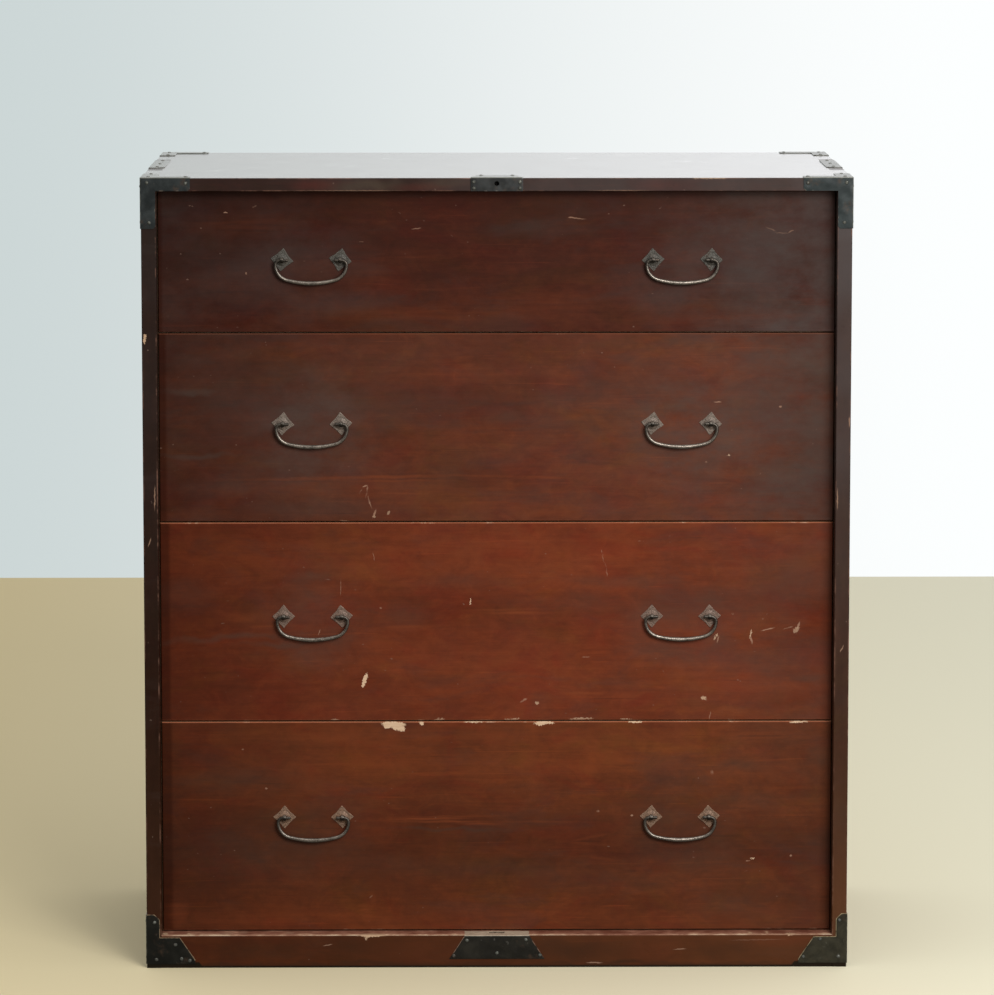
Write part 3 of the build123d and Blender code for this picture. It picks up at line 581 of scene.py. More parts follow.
@dataclass(frozen=True)
class CaseLacquer:
    """Dark lacquer on a board of the case, rubbed through along its front arrises.

    Attributes:
        name: Name of the material.
        figure: The grain's colours.
        grain: Direction of the grain.
        marks: Chips, scratches, rubbed patches and stains.
        worn_x: Distances from the middle plane, mm, of the arrises that run up the front.
        worn_z: Heights, mm, of the arrises that run across the front.
        ledge_z: Height of a face that is rubbed pale, mm, or 0 for none.
        bare_inside: Distance from the middle plane, mm, within which it is bare, or 0 for none.
        bloom_and_sheen: Share of grey bloom with painted sheen towards the top and the right.
        bloom_and_sheen_colour: Colour of the bloom and its painted sheen.
        painted_floor_light: Share of painted light from the floor, warmer and paler towards the foot and towards the
            right.
        stain: Colour of its stains.
        rub: Colour of its rubbed patches.
        gloss: Weight of the clear coat.
    """

    name: str
    figure: Figure
    grain: Grain
    marks: Marks
    worn_x: Numbers = ()
    worn_z: Numbers = ()
    ledge_z: float = 0.0
    bare_inside: float = 0.0
    bloom_and_sheen: float = 0.0
    bloom_and_sheen_colour: Colour = (0.078, 0.064, 0.06)
    painted_floor_light: float = 0.0
    stain: Colour = (0.052, 0.034, 0.018)
    rub: Colour = (0.15, 0.036, 0.014)
    gloss: float = 0.15
    UPPER_FACE: ClassVar[Pair] = (1.0292, 1.0297)

    def material(self) -> Material:
        """Makes the board's material: bloom with painted sheen, painted floor light, worn arrises, marks, a dusty
        film with painted sheen on top and a painted contact shadow at the foot.

        Returns:
            The material.
        """
        sheet = Surface(self.name)
        x, y, z = sheet.axes
        tone, fibre = self.figure.tone(sheet, self.grain)
        patches = sheet.noise(2.5, 4, bend=0.4, shift=(self.figure.seed, 0, 0))
        tone = tone + patches.span(-0.2, 0.2)
        ripple = sheet.noise(24, 5, 0.7)
        cloud = sheet.noise(7, 3, 0.55, shift=(2, 3, self.figure.seed))
        rightward = x.step(-0.455, 0.455)
        # painted light bounced from the floor: warmer and paler low down, more on the right
        foot = z.step(0.4, 0.06) * rightward.span(0.5, 0.9) * self.painted_floor_light
        upper = z.step(*self.UPPER_FACE)
        # grey bloom with painted sheen, rising towards the top and the right
        grey = z.step(0.3, 1.05) * rightward.span(0.4, 0.8) * self.bloom_and_sheen * z.step(*self.UPPER_FACE[::-1])
        away = abs(x)
        arrises = [(away, place) for place in self.worn_x] + [(z, place) for place in self.worn_z]
        lines = [abs(distance - place * MM).step(1.5 * MM, 0.5 * MM) for distance, place in arrises]
        edge = sheet.highest(lines) * y.step(-0.2255, -0.2266) * ripple.step(0.47, 0.66)
        colour = sheet.layered(
            self.figure.coloured(sheet, tone),
            (foot * cloud.span(0.6, 1.2), (0.15, 0.055, 0.02)),
            (grey * cloud.span(0.4, 1.5), self.bloom_and_sheen_colour),
            (edge * 0.6, (0.27, 0.135, 0.09)),
        )
        chipped, scratched, rubbed, stained = (sheet.marked(self.marks, kind, CASE_FRONT) for kind in MarkKind)
        if self.ledge_z:
            colour = self.dusted_ledge(sheet, colour, ripple, rubbed)
        stained = stained * ripple.span(0.3, 0.9)
        # dusty film with painted sheen on the top face, paler towards the front
        dust_and_sheen_film = ripple.span(0.05, 0.3) + y.step(0.2, -0.22) * 0.24
        colour = sheet.layered(
            colour,
            (stained, self.stain),
            (rubbed * ripple.span(0.2, 0.9), self.rub),
            (scratched * 0.75, (0.34, 0.2, 0.13)),
            (chipped, (0.55, 0.36, 0.22)),
            (sheet.noise(170, 1.5).step(0.76, 0.8) * 0.4, (0.24, 0.16, 0.12)),
            (upper * dust_and_sheen_film, (0.205, 0.18, 0.16)),
            (stained * upper, (0.02, 0.012, 0.008)),
        )
        if self.bare_inside:
            inner = away.step((self.bare_inside + 0.35) * MM, (self.bare_inside + 0.15) * MM)
            wood = sheet.ramp(tone, ((0.1, (0.2, 0.125, 0.068)), (0.9, (0.36, 0.24, 0.14))))
            colour = sheet.blend(inner * y.step(-0.2035, -0.2015), colour, wood)
        # painted contact shadow: the lowest few mm turn near black, reaching higher at the two ends
        over = z - away.step(0.383, 0.388) * 0.0048
        colour = sheet.blend(over.step(0.004, 0.0018) * 0.92, colour, (0.01, 0.0085, 0.0045))
        sheet.raised(fibre, 0.00008, 0.45 - 0.42 * self.gloss)
        coat = {"Coat_Weight": self.gloss, "Coat_Roughness": 0.15, "Coat_IOR": 1.5 - 0.14 * self.gloss}
        return sheet.surface(colour, 0.3 + ripple.span(-0.05, 0.08), **coat, Specular_IOR_Level=0.12)

    def dusted_ledge(self, sheet: Surface, colour: Signal, ripple: Signal, rubbed: Value) -> Signal:
        """Rubs the lacquer pale on the ledge in front of the drawers, most at its arris and at the left.

        Args:
            sheet: The node tree.
            colour: The lacquer's colour.
            ripple: Uneven noise.
            rubbed: Where the ledge is rubbed most.

        Returns:
            The rubbed colour.
        """
        x, y, z = sheet.axes
        level = z.step((self.ledge_z - 0.6) * MM, (self.ledge_z - 0.2) * MM)
        ledge = level * (y.step(-0.196, -0.204) * y.step(-0.2273, -0.2263))
        worn = ripple.span(-0.32, 0.78) + y.step(-0.214, -0.2262) * 0.4 + x.step(0.15, -0.15) * 0.11
        paler = ((0.17, 0.055, 0.032), (0.34, 0.15, 0.095), (0.6, 0.35, 0.22), (0.9, 0.68, 0.45))
        dusty = sheet.ramp(worn + rubbed * 0.6, tuple(zip((0.1, 0.45, 0.7, 0.9), paler)))
        return sheet.blend(ledge * 0.95, colour, dusty)


@dataclass(frozen=True)
class BareTimber:
    """Unfinished softwood with growth rings, aged and a little dusty.

    Attributes:
        name: Name of the material.
        figure: The grain's colours.
        grain: Direction of the grain.
        ring: Number of growth rings in a metre.
        grime: Share of dark grime.
        board: Height of each board, mm, where several stand in one node, or 0.
    """

    name: str
    figure: Figure
    grain: Grain
    ring: float
    grime: float
    board: float = 0.0
    LOWEST: ClassVar[float] = 0.0305

    def material(self) -> Material:
        """Makes the timber's material: rings about a far pith, cut by the board's faces.

        Returns:
            The material.
        """
        sheet = Surface(self.name)
        place = self.shuffled(sheet) if self.board else sheet.place
        laid = sheet.moved(place, turn=self.grain.value)
        laid = sheet.moved(laid, (0.07, 1, 1), shift=(self.figure.seed, 0.09, 0.04 * self.figure.seed))
        laid = sheet.jittered(laid, 24.0, 0.012)
        sizes = {"Scale": self.ring * 0.314, "Distortion": 2.2, "Detail": 2.0, "Detail Scale": 3.0}
        ways = {"wave_type": "RINGS", "rings_direction": "X", "wave_profile": "SAW"}
        rings = sheet.get(1, "TexWave", {"Vector": laid, **sizes}, **ways)
        fibre = sheet.noise((200, 500, 500), 3, 0.6, place=laid)
        cloud = sheet.noise((12, 5, 5), 4, 0.6, place=laid)
        tone = rings * cloud.span(0.12, 0.46) + fibre.span(-0.12, 0.2) + cloud.span(0.0, 0.5)
        if self.board:
            tone = tone + sheet.math("SINE", self.board_index(sheet) * 2.6) * 0.13
        colour = sheet.layered(
            sheet.ramp(tone, ((0.1, self.figure.light), (0.5, self.figure.middle), (0.95, self.figure.dark))),
            (sheet.noise(6, 5, 0.65).step(0.48, 0.75) * self.grime, (0.1, 0.065, 0.042)),
        )
        if self.board:
            height = sheet.axes[2] - self.LOWEST
            from_seam = sheet.math("PINGPONG", height, self.board * MM / 2)
            colour = sheet.blend(from_seam.step(0.0034, 0.0006) * 0.8, colour, (0.035, 0.022, 0.014))
        sheet.raised(rings * 0.4 + fibre, 0.0002, 0.6)
        return sheet.surface(colour, cloud.span(0.62, 0.8), Specular_IOR_Level=0.3)

    def board_index(self, sheet: Surface) -> Signal:
        """Numbers the boards of a row, from the lowest up."""
        height = sheet.axes[2] - self.LOWEST
        return sheet.math("FLOOR", sheet.math("DIVIDE", height, self.board * MM))

    def shuffled(self, sheet: Surface) -> Signal:
        """Moves the pattern along by a different amount on each board of a row.

        Args:
            sheet: The node tree.

        Returns:
            The moved place.
        """
        index = self.board_index(sheet)
        aside = sheet.math("SINE", index * 2.1) * 0.05
        offset = sheet.get(0, "CombineXYZ", {0: index * 1.37, 1: aside, 2: index * -0.21})
        return sheet.vector("ADD", sheet.place, offset)


@dataclass(frozen=True)
class SheetIronFinish:
    """Blackened sheet iron, dull and clouded, worn bright along its cut edges and folds.

    Attributes:
        name: Name of the material.
        dark: Colour of the blackened skin.
        cloud: Colour of its paler clouds.
        edge: Colour of the worn edges.
        edge_share: Share of the edges that is worn.
        gloss: Strength of its shine.
        grimy_z: Height, mm, under which the edges are dark.
        dust_and_sheen_z: Height, mm, over which a dusty film with painted sheen lies, or 0 for none.
        dust_and_sheen: Colour of the dusty film and its painted sheen.
    """

    name: str
    dark: Colour
    cloud: Colour
    edge: Colour
    edge_share: float
    gloss: float
    grimy_z: float = 0.0
    dust_and_sheen_z: float = 0.0
    dust_and_sheen: Colour = (0.21, 0.21, 0.18)

    def material(self) -> Material:
        """Makes the iron's material from the distances painted on the sheets.

        Returns:
            The material.
        """
        sheet = Surface(self.name)
        z = sheet.axes[2]
        clouds = sheet.noise(55, 5, 0.62, 0.4)
        grit = sheet.noise(700, 3)
        rust = sheet.noise(38, 5, 0.7, shift=(4, 2, 1))
        ragged = sheet.noise(110, 4, 0.65)
        scuff = sheet.noise(160, 2, shift=(1, 5, 3))
        bare = ragged.step(0.62 - self.edge_share * 0.3, 0.66 - self.edge_share * 0.15)
        worn = sheet.painted("cut").step(1.0, 0.35) * bare
        if self.grimy_z:
            worn = worn * z.step((self.grimy_z - 1.0) * MM, (self.grimy_z + 1.5) * MM)
        creased = sheet.painted("fold").step(1.6, 0.3) * ragged.step(0.38, 0.6)
        colour = sheet.layered(
            sheet.blend(clouds.step(0.36, 0.68), self.dark, self.cloud),
            (rust.step(0.56, 0.72) * 0.55, (0.085, 0.047, 0.027)),
            (worn * 0.85, self.edge),
            (creased * 0.6, (0.21, 0.2, 0.15)),
            (scuff.step(0.7, 0.78) * 0.3, (0.18, 0.17, 0.14)),
        )
        if self.dust_and_sheen_z:
            # dusty film with painted sheen over the height
            dust_and_sheen_film = z.step(self.dust_and_sheen_z * MM, (self.dust_and_sheen_z + 0.4) * MM) * ragged.span(0.65, 1.0)
            colour = sheet.blend(dust_and_sheen_film, colour, self.dust_and_sheen)
        sheet.raised(clouds, 0.0002, 0.3)
        rough = 0.4 + clouds.span(-0.08, 0.1) + grit.span(-0.05, 0.05)
        shine = {"Specular_IOR_Level": 0.4 * self.gloss, "Coat_Weight": 0.85 * self.gloss}
        return sheet.surface(colour, rough, Metallic=0.15, Coat_Roughness=0.22, **shine)


@dataclass(frozen=True)
class ForgedIronFinish:
    """Brown-black forged iron, polished by hands and given painted highlights where its paint value is high.

    Attributes:
        name: Name of the material.
        dark: Colour of the untouched iron.
        polished: Colour where hands have rubbed it and where highlights are painted.
        pitted: Depth of the pits, metres.
        metal: How metallic it is.
        rough: Roughness of the untouched iron.
        dust_and_sheen_z: Height, mm, over which a dusty film with painted sheen lies, or 0 for none.
    """

    name: str
    dark: Colour
    polished: Colour
    pitted: float = 0.0004
    metal: float = 0.2
    rough: float = 0.58
    dust_and_sheen_z: float = 0.0

    def material(self) -> Material:
        """Makes the iron's material: clouds, pits, rust, and a dusty film with painted sheen over the rubbed skin
        with its painted highlights.

        Returns:
            The material.
        """
        sheet = Surface(self.name)
        clouds = sheet.noise(140, 4, 0.6, 0.3)
        pits = {"Vector": sheet.jittered(sheet.place, 600.0, 0.0004), "Scale": 620.0}
        hollow = sheet.get("Distance", "TexVoronoi", pits, feature="F1").step(0.18, 0.62)
        # wear and painted highlights, as painted at the pieces' points
        worn_and_highlit = sheet.painted("touch") * clouds.step(0.05, 0.62)
        colour = sheet.layered(
            sheet.blend(worn_and_highlit, self.dark, self.polished),
            ((1.0 - hollow) * 0.55, tuple(part * 0.4 for part in self.dark)),
            (sheet.noise(90, 4, 0.7, shift=(3, 1, 2)).step(0.55, 0.7) * 0.35, (0.115, 0.062, 0.038)),
        )
        if self.dust_and_sheen_z:
            # dusty film with painted sheen over the height
            dust_and_sheen_film = sheet.axes[2].step(self.dust_and_sheen_z * MM, (self.dust_and_sheen_z + 0.3) * MM) * 0.8
            colour = sheet.blend(dust_and_sheen_film, colour, (0.2, 0.195, 0.17))
        sheet.raised(hollow * 0.8 + clouds * 0.7, self.pitted, 0.8)
        rough = self.rough + worn_and_highlit * -0.14 + clouds.span(-0.07, 0.07)
        return sheet.surface(colour, rough, Metallic=self.metal, Specular_IOR_Level=0.5)


# ----- Surfaces -----
def in_scene(name: str, data: bpy.types.ID) -> Piece:
    """Puts a new object into the scene.

    Args:
        name: Its name.
        data: Its mesh, camera or lamp.

    Returns:
        The object.
    """
    made = bpy.data.objects.new(name, data)
    bpy.context.scene.collection.objects.link(made)
    return made


@dataclass
class Patchwork:
    """Surfaces gathered into one mesh, each with values painted at its points."""

    points: list[Array] = field(default_factory=list)
    quads: list[Array] = field(default_factory=list)
    paint: list[dict[str, Array]] = field(default_factory=list)

    def lay(
        self, grid: Array, closed: tuple[bool, bool] = (False, True), outward: Array | None = None,
        keep: Array | None = None, **paint: Array | float,
    ) -> None:
        """Adds a surface given as rows and columns of points.

        Neighbouring points make four-sided faces. They are turned over where they would face
        inwards: against outward on an open sheet, or by the sign of the volume on a closed one.

        Args:
            grid: Points, rows by columns by three, mm.
            closed: Whether the last row joins the first, and the last column the first.
            outward: The way an open sheet faces, or None for a closed surface.
            keep: Which faces to keep, rows by columns of faces, or None for all.
            paint: Values at the points, or one for all of them.
        """
        rows, columns = grid.shape[:2]
        counts = (np.arange(size if ring else size - 1) for size, ring in zip(grid.shape, closed))
        row, column = np.meshgrid(*counts, indexing="ij")
        if keep is not None:
            row, column = row[keep], column[keep]
        row, column = row.ravel(), column.ravel()
        below, beside = (row + 1) % rows, (column + 1) % columns
        corners = ((row, column), (row, beside), (below, beside), (below, column))
        quads = np.stack([down * columns + along for down, along in corners], axis=1)
        flat = grid.reshape(-1, 3)
        first, second, third, fourth = (flat[quads[:, k]] for k in range(4))
        square = np.cross(third - first, fourth - second)
        facing = square @ outward if outward is not None else np.einsum("ij,ij->i", square, first + third)
        if facing.sum() < 0:
            quads = quads[:, ::-1]
        self.quads.append(quads + sum(len(part) for part in self.points))
        self.points.append(flat)
        self.paint.append({key: np.broadcast_to(value, (rows, columns)).ravel() for key, value in paint.items()})

    def finish(self, name: str) -> Piece:
        """Puts the surfaces into one object, with touching points joined.

        Args:
            name: Name of the piece.

        Returns:
            The piece, at the origin.
        """
        mesh = bpy.data.meshes.new(name)
        mesh.from_pydata(np.concatenate(self.points) * MM, [], np.concatenate(self.quads).tolist())
        for key in self.paint[0]:
            layer = mesh.attributes.new(key, "FLOAT", "POINT")
            layer.data.foreach_set("value", np.concatenate([part[key] for part in self.paint]).astype(np.float32))
        work = bmesh.new()
        work.from_mesh(mesh)
        bmesh.ops.remove_doubles(work, verts=work.verts, dist=2e-6)
        work.to_mesh(mesh)
        work.free()
        mesh.polygons.foreach_set("use_smooth", np.ones(len(mesh.polygons), bool))
        mesh.update()
        return in_scene(name, mesh)


def fit(made: Piece, body: str, node: str, material: Material) -> None:
    """Finishes a fitting, lets it ride on its body and stand for its node.

    Args:
        made: The piece.
        body: The body that it moves with.
        node: The node that it stands for.
        material: Its finish.
    """
    made.data.materials.append(material)
    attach(made, body)
    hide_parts(node)
    LOG.info("%s: %d points", made.name, len(made.data.vertices))


def around(turn: Array) -> Array:
    """Cosines and sines of turns, as places on a circle."""
    return np.stack([np.cos(turn), np.sin(turn)], axis=1)


def walked(corners: Array, spacing: float) -> Array:
    """Evenly spaced points along straight runs between corners.

    The distance along the runs is divided into equal steps and each coordinate is
    interpolated over it.

    Args:
        corners: The runs' corners.
        spacing: Wanted distance between points.

    Returns:
        The points, the first and last corners among them.
    """
    length = np.concatenate([[0.0], np.cumsum(np.linalg.norm(np.diff(corners, axis=0), axis=1))])
    steps = np.linspace(0.0, length[-1], max(2, round(length[-1] / spacing) + 1))
    return np.stack([np.interp(steps, length, column) for column in corners.T], axis=1)


def softened(path: Array, spacing: float, reach: float) -> Array:
    """Rounds a path's bends: each point becomes the bell-weighted mean of its neighbours.

    Args:
        path: Evenly spaced points.
        spacing: Distance between them.
        reach: Width of the bell, in the same unit.

    Returns:
        The smoother path, with as many points.
    """
    half = int(3 * reach / spacing) + 1
    offsets = np.arange(-half, half + 1) * spacing
    weights = np.exp(-0.5 * (offsets / reach) ** 2)
    weights /= weights.sum()
    padded = np.pad(path, ((half, half), (0, 0)), mode="reflect", reflect_type="odd")
    return np.stack([np.convolve(column, weights, mode="valid") for column in padded.T], axis=1)


def from_ends(count: int, spacing: float) -> Array:
    """Distance of each of a path's points from the nearer end."""
    return np.minimum(np.arange(count), np.arange(count)[::-1]) * spacing


def carried(path: Array, profile: Array, across: Array, scale: Array) -> Array:
    """Carries a profile along a path that lies in one plane.

    Each row is the profile set square to the path: point = path + scale * (profile's first
    coordinate * side + its second * across), where across is the plane's normal and side is
    across times the path's direction.

    Args:
        path: Points of the path.
        profile: Closed profile, two coordinates for each point.
        across: Normal of the path's plane.
        scale: Factor for each row and profile point.

    Returns:
        Grid of points, path rows by profile columns.
    """
    along = np.gradient(path, axis=0)
    along /= np.linalg.norm(along, axis=1, keepdims=True)
    side = np.cross(across, along)
    spread = profile[None, :, :1] * side[:, None] + profile[None, :, 1:] * across
    return path[:, None] + scale[..., None] * spread


def capped(ring: Array, path: Array) -> Array:
    """Closes a carried profile with the path's own end points."""
    tips = np.repeat(path[[0, -1]][:, None], ring.shape[1], axis=1)
    return np.concatenate([tips[:1], ring, tips[1:]])


def rounded_profile(half_first: float, half_second: float, power: float, count: int) -> Array:
    """Closed profile between an ellipse and a rectangle.

    Each coordinate is its half size times the cosine or sine raised to 2 / power, with sign.

    Args:
        half_first: Half size along the first coordinate.
        half_second: Half size along the second.
        power: 2 for an ellipse, more for a squarer shape.
        count: Number of points.

    Returns:
        The profile's points.
    """
    wave = around(np.linspace(0.0, 2 * np.pi, count, endpoint=False))
    return np.array([half_first, half_second]) * np.sign(wave) * np.abs(wave) ** (2 / power)


def dents(points: Array, pitch: float, seed: int) -> Array:
    """Hammer-like unevenness between about -1 and 1: a mean of ten plane waves.

    Each wave has a seeded direction, phase and length near pitch.

    Args:
        points: Places, any shape with coordinates last.
        pitch: Usual distance between dents.
        seed: Seed of the waves.

    Returns:
        The unevenness at each place.
    """
    draw = np.random.default_rng(seed)
    ways = draw.normal(size=(10, points.shape[-1]))
    ways *= (2 * np.pi / pitch) * draw.uniform(0.5, 1.4, (10, 1)) / np.linalg.norm(ways, axis=1, keepdims=True)
    return np.sin(points @ ways.T + draw.uniform(0, 2 * np.pi, 10)).mean(axis=-1) * 2.2


def lines_between(spacing: float, *stations: float) -> Array:
    """Grid lines at about equal spacing that pass through every station.

    Args:
        spacing: Widest distance between two lines.
        stations: Places where a line has to be, in rising order.

    Returns:
        The lines' places.
    """
    parts = [
        np.linspace(low, high, max(1, math.ceil((high - low) / spacing)), endpoint=False)
        for low, high in zip(stations, stations[1:])
    ]
    return np.concatenate([*parts, [stations[-1]]])


def squeezed(places: Array, start: float, full: float, size: Array) -> Array:
    """Squeezes places that run from start to full so that they end at each size instead."""
    return start + (places - start) * (size - start) / (full - start)


def outline_distance(points: Array, outline: Array) -> Array:
    """Distance from each point to the nearest side of a closed outline.

    For every side the point is projected onto it, the projection is kept between the side's
    ends, and the shortest of the distances is taken.

    Args:
        points: Points in the plane, any shape with two coordinates last.
        outline: Corners in order.

    Returns:
        The distances.
    """
    start, side = outline, np.roll(outline, -1, axis=0) - outline
    offset = points[..., None, :] - start
    share = np.clip((offset * side).sum(-1) / (side**2).sum(-1), 0.0, 1.0)
    return np.linalg.norm(offset - share[..., None] * side, axis=-1).min(axis=-1)


# ----- Handles -----
@dataclass
class Handling:
    """What the handles' parts on one drawer share: its number and the pivots, mm."""

    drawer: int
    pivot_z: float
    pivot_y: float = -209.0
    posts: Numbers = (-276.0, -201.0, 201.0, 276.0)


@dataclass
class BailHandles(Handling):
    """The two drop handles of one drawer, forged thick in the belly and thin at the ends."""

    centre: float = 238.5
    end_inside: float = 29.5
    end_outside: float = 39.8
    corner_radius: float = 6.0
    arm_radius: float = 20.5
    arm_turn: float = 75.0
    rod_radii: Numbers = (2.0, 2.0, 2.0, 2.3, 3.0)
    spacing: float = 0.75
    sides: int = 20

    def half_path(self) -> tuple[Array, Array]:
        """Right half of the centre line about its pivot: a straight end, then three arcs.

        Returns:
            Points across and up, and the distances of the five stations along them.
        """
        arm_turn = math.radians(self.arm_turn)
        corner_mid = np.array([self.end_outside, -self.corner_radius])
        arm_mid = np.array([self.end_outside + self.corner_radius - self.arm_radius, -self.corner_radius])
        arm_end = arm_mid + self.arm_radius * np.array([math.cos(arm_turn), -math.sin(arm_turn)])
        belly = arm_end[0] / math.cos(arm_turn)
        belly_mid = np.array([0.0, arm_end[1] + belly * math.sin(arm_turn)])
        pieces = [np.array([[self.end_inside, 0.0], [self.end_outside, 0.0]])]
        lengths = [self.end_outside - self.end_inside]
        for middle, radius, start, stop in (
            (corner_mid, self.corner_radius, math.pi / 2, 0.0),
            (arm_mid, self.arm_radius, 0.0, -arm_turn),
            (belly_mid, belly, -arm_turn, -math.pi / 2),
        ):
            pieces.append(middle + radius * around(np.linspace(start, stop, 40)[1:]))
            joined = np.concatenate([pieces[-2][-1:], pieces[-1]])
            lengths.append(np.linalg.norm(np.diff(joined, axis=0), axis=1).sum())
        return np.concatenate(pieces), np.concatenate([[0.0], np.cumsum(lengths)])

    def build(self, hand: Hand) -> Piece:
        """Builds one bail as a rounded profile carried along its path.

        The profile's size follows the rod's radii between the stations, with shallow forging marks on the belly, and
        falls to nothing at the two ends. Hands have rubbed the belly most; its upper and front side carry a painted
        highlight and its underside painted shade.

        Args:
            hand: Which of the drawer's two handles.

        Returns:
            The bail.
        """
        half, stations = self.half_path()
        whole = np.concatenate([half, (half * [-1, 1])[::-1][1:]])
        flat = softened(walked(whole, self.spacing), self.spacing, 1.1)
        count, sides = len(flat), self.sides
        from_end = from_ends(count, self.spacing)
        radius = np.interp(from_end, stations, self.rod_radii)
        radius = softened(radius[:, None], self.spacing, 4.0)[:, 0]
        radius *= np.sqrt(1 - np.clip(1 - from_end / 1.2, 0, 1) ** 2 * 0.6)
        across, up = flat[:, 0] + hand.value * self.centre, flat[:, 1] + self.pivot_z
        path = np.stack([across, np.full(count, self.pivot_y), up], axis=1)
        profile = rounded_profile(1.0, 1.0, 2.25, sides)
        skin = [np.broadcast_to(part, (count, sides)) for part in (flat[:, :1], *(profile * 9).T)]
        marks = dents(np.stack(skin, axis=-1), 13.0, self.drawer * 2 + (hand is Hand.RIGHT))
        freedom = np.clip((from_end - 14) / 12, 0, 1)
        scale = radius[:, None] * (1 - 0.012 * freedom[:, None] * (1 + marks))
        ring = carried(path, profile, np.array([0.0, 1.0, 0.0]), scale)
        # painted highlight on the upper front side of the rod, painted shade on its underside
        facing = (ring - path[:, None]) @ np.array([0.0, -0.6, 0.8]) / radius[:, None]
        touch = np.clip((from_end - 8) / 36, 0.24, 1)[:, None] * np.clip(0.42 + 0.9 * facing, 0.06, 1)
        work = Patchwork()
        work.lay(capped(ring, path), touch=np.pad(touch, ((1, 1), (0, 0)), mode="edge"))
        return work.finish(f"drawer_{self.drawer}_{hand.name.lower()}_bail_forged")


@dataclass
class SplitPins(Handling):
    """The four split pins of one drawer: a strip bent round the bail and through the front."""

    eye_radius: float = 2.88
    strip_half: float = 0.8
    strip_half_width: float = 2.0
    leg_y: float = -182.7
    leg_reach: float = 16.4
    spacing: float = 0.4
    sides: int = 16

    def build(self) -> Piece:
        """Builds the pins as a rounded strip carried round the eye and down both legs.

        Returns:
            The four pins in one piece.
        """
        opening = math.asin(self.strip_half / self.eye_radius)
        eye = [self.pivot_y, 0.0] + self.eye_radius * around(np.linspace(opening, 2 * np.pi - opening, 60))
        legs = np.array([[self.leg_y, self.leg_reach], [self.leg_y, self.strip_half]])
        corners = np.concatenate([legs, eye, (legs * [1, -1])[::-1]])
        flat = softened(walked(corners, self.spacing), self.spacing, 0.45)
        count, sides = len(flat), self.sides
        profile = rounded_profile(self.strip_half, self.strip_half_width, 5.0, sides)
        taper = 0.35 + 0.65 * np.clip(from_ends(count, self.spacing) / 5, 0, 1) ** 0.6
        work = Patchwork()
        for index, post in enumerate(self.posts):
            path = np.stack([np.full(count, post), flat[:, 0], flat[:, 1] + self.pivot_z], axis=1)
            ring = carried(path, profile, np.array([1.0, 0.0, 0.0]), np.repeat(taper[:, None], sides, axis=1))
            # painted highlight on the top of the eye outside the front; the rest stays dark
            touch = np.clip((path[:, 2] - self.pivot_z - 0.3) / 2.2, 0, 1) * (path[:, 1] < DRAWER_FRONT)
            touch = np.pad(touch, 1, mode="edge") * (0.8 + 0.1 * (index % 3))
            work.lay(capped(ring, path), touch=touch[:, None])
        return work.finish(f"drawer_{self.drawer}_split_pins_bent")


@dataclass
class HandlePlates(Handling):
    """The four lozenge plates of one drawer, each with hollow sides and a beaten boss."""

    turns: Numbers = ()
    half_width: float = 15.0
    half_height: float = 15.5
    hollow: float = 0.7
    hole_radius: float = 2.7
    boss_radius: float = 7.5
    boss_height: float = 1.5
    thickness: float = 1.0
    columns: int = 96

    def section(self) -> tuple[Array, Array, Array]:
        """One cut through the plate, from the hole outwards over the front and back behind.

        The boss is a flat dome with a chased ring at its foot.

        Returns:
            Radius of each row's circle, its share of the way to the outline, and its height.
        """
        dome = np.linspace(self.hole_radius + 0.25, self.boss_radius, 9)
        dome_height = self.thickness + self.boss_height * (1 - (dome / self.boss_radius) ** 2) ** 0.8
        circle = np.concatenate([[self.hole_radius, self.hole_radius], dome, np.full(11, self.boss_radius + 0.6)])
        share = np.concatenate([np.zeros(11), np.linspace(0, 0.96, 8), [1.0, 1.0, 0.99]])
        plain = np.full(8, self.thickness - 0.05)
        plain[0] = self.thickness - 0.28
        height = np.concatenate([[0.02, dome_height[0] - 0.3], dome_height, plain, [0.62, 0.3, 0.02]])
        return circle[:, None], share[:, None], height[:, None]

    def build(self) -> Piece:
        """Builds the plates: circles at the boss that turn into the lozenge at the rim.

        The outline's distance from the middle is 1 / (|cos| / half width + |sin| / half
        height), less the hollow at the middle of each side, with small nicks.

        Returns:
            The four plates in one piece.
        """
        turn = np.linspace(0, 2 * np.pi, self.columns, endpoint=False)
        circle, share, height = self.section()
        straight = 1 / (np.abs(np.cos(turn)) / self.half_width + np.abs(np.sin(turn)) / self.half_height)
        rim = straight - self.hollow * np.sin(2 * turn) ** 2
        work = Patchwork()
        for index, (post, tilt) in enumerate(zip(self.posts, self.turns)):
            seed = self.drawer * 10 + index
            nicked = rim * (1 - 0.014 * (1 + dents(around(turn) * 15, 7.0, seed)))
            reach = circle + share * (nicked[None] - circle)
            angle = turn + math.radians(tilt)
            across, up = reach * np.cos(angle), reach * np.sin(angle)
            bumps = dents(np.stack([across, up], axis=-1), 5.5, seed + 50)
            lift = height * (1 + 0.05 * bumps * (height > 0.5))
            grid = np.stack([across + post, DRAWER_FRONT - lift, up + self.pivot_z], axis=-1)
            work.lay(grid, (True, True), touch=np.where(share > 0.85, 1.0, 0.55))
        return work.finish(f"drawer_{self.drawer}_handle_plates_beaten")


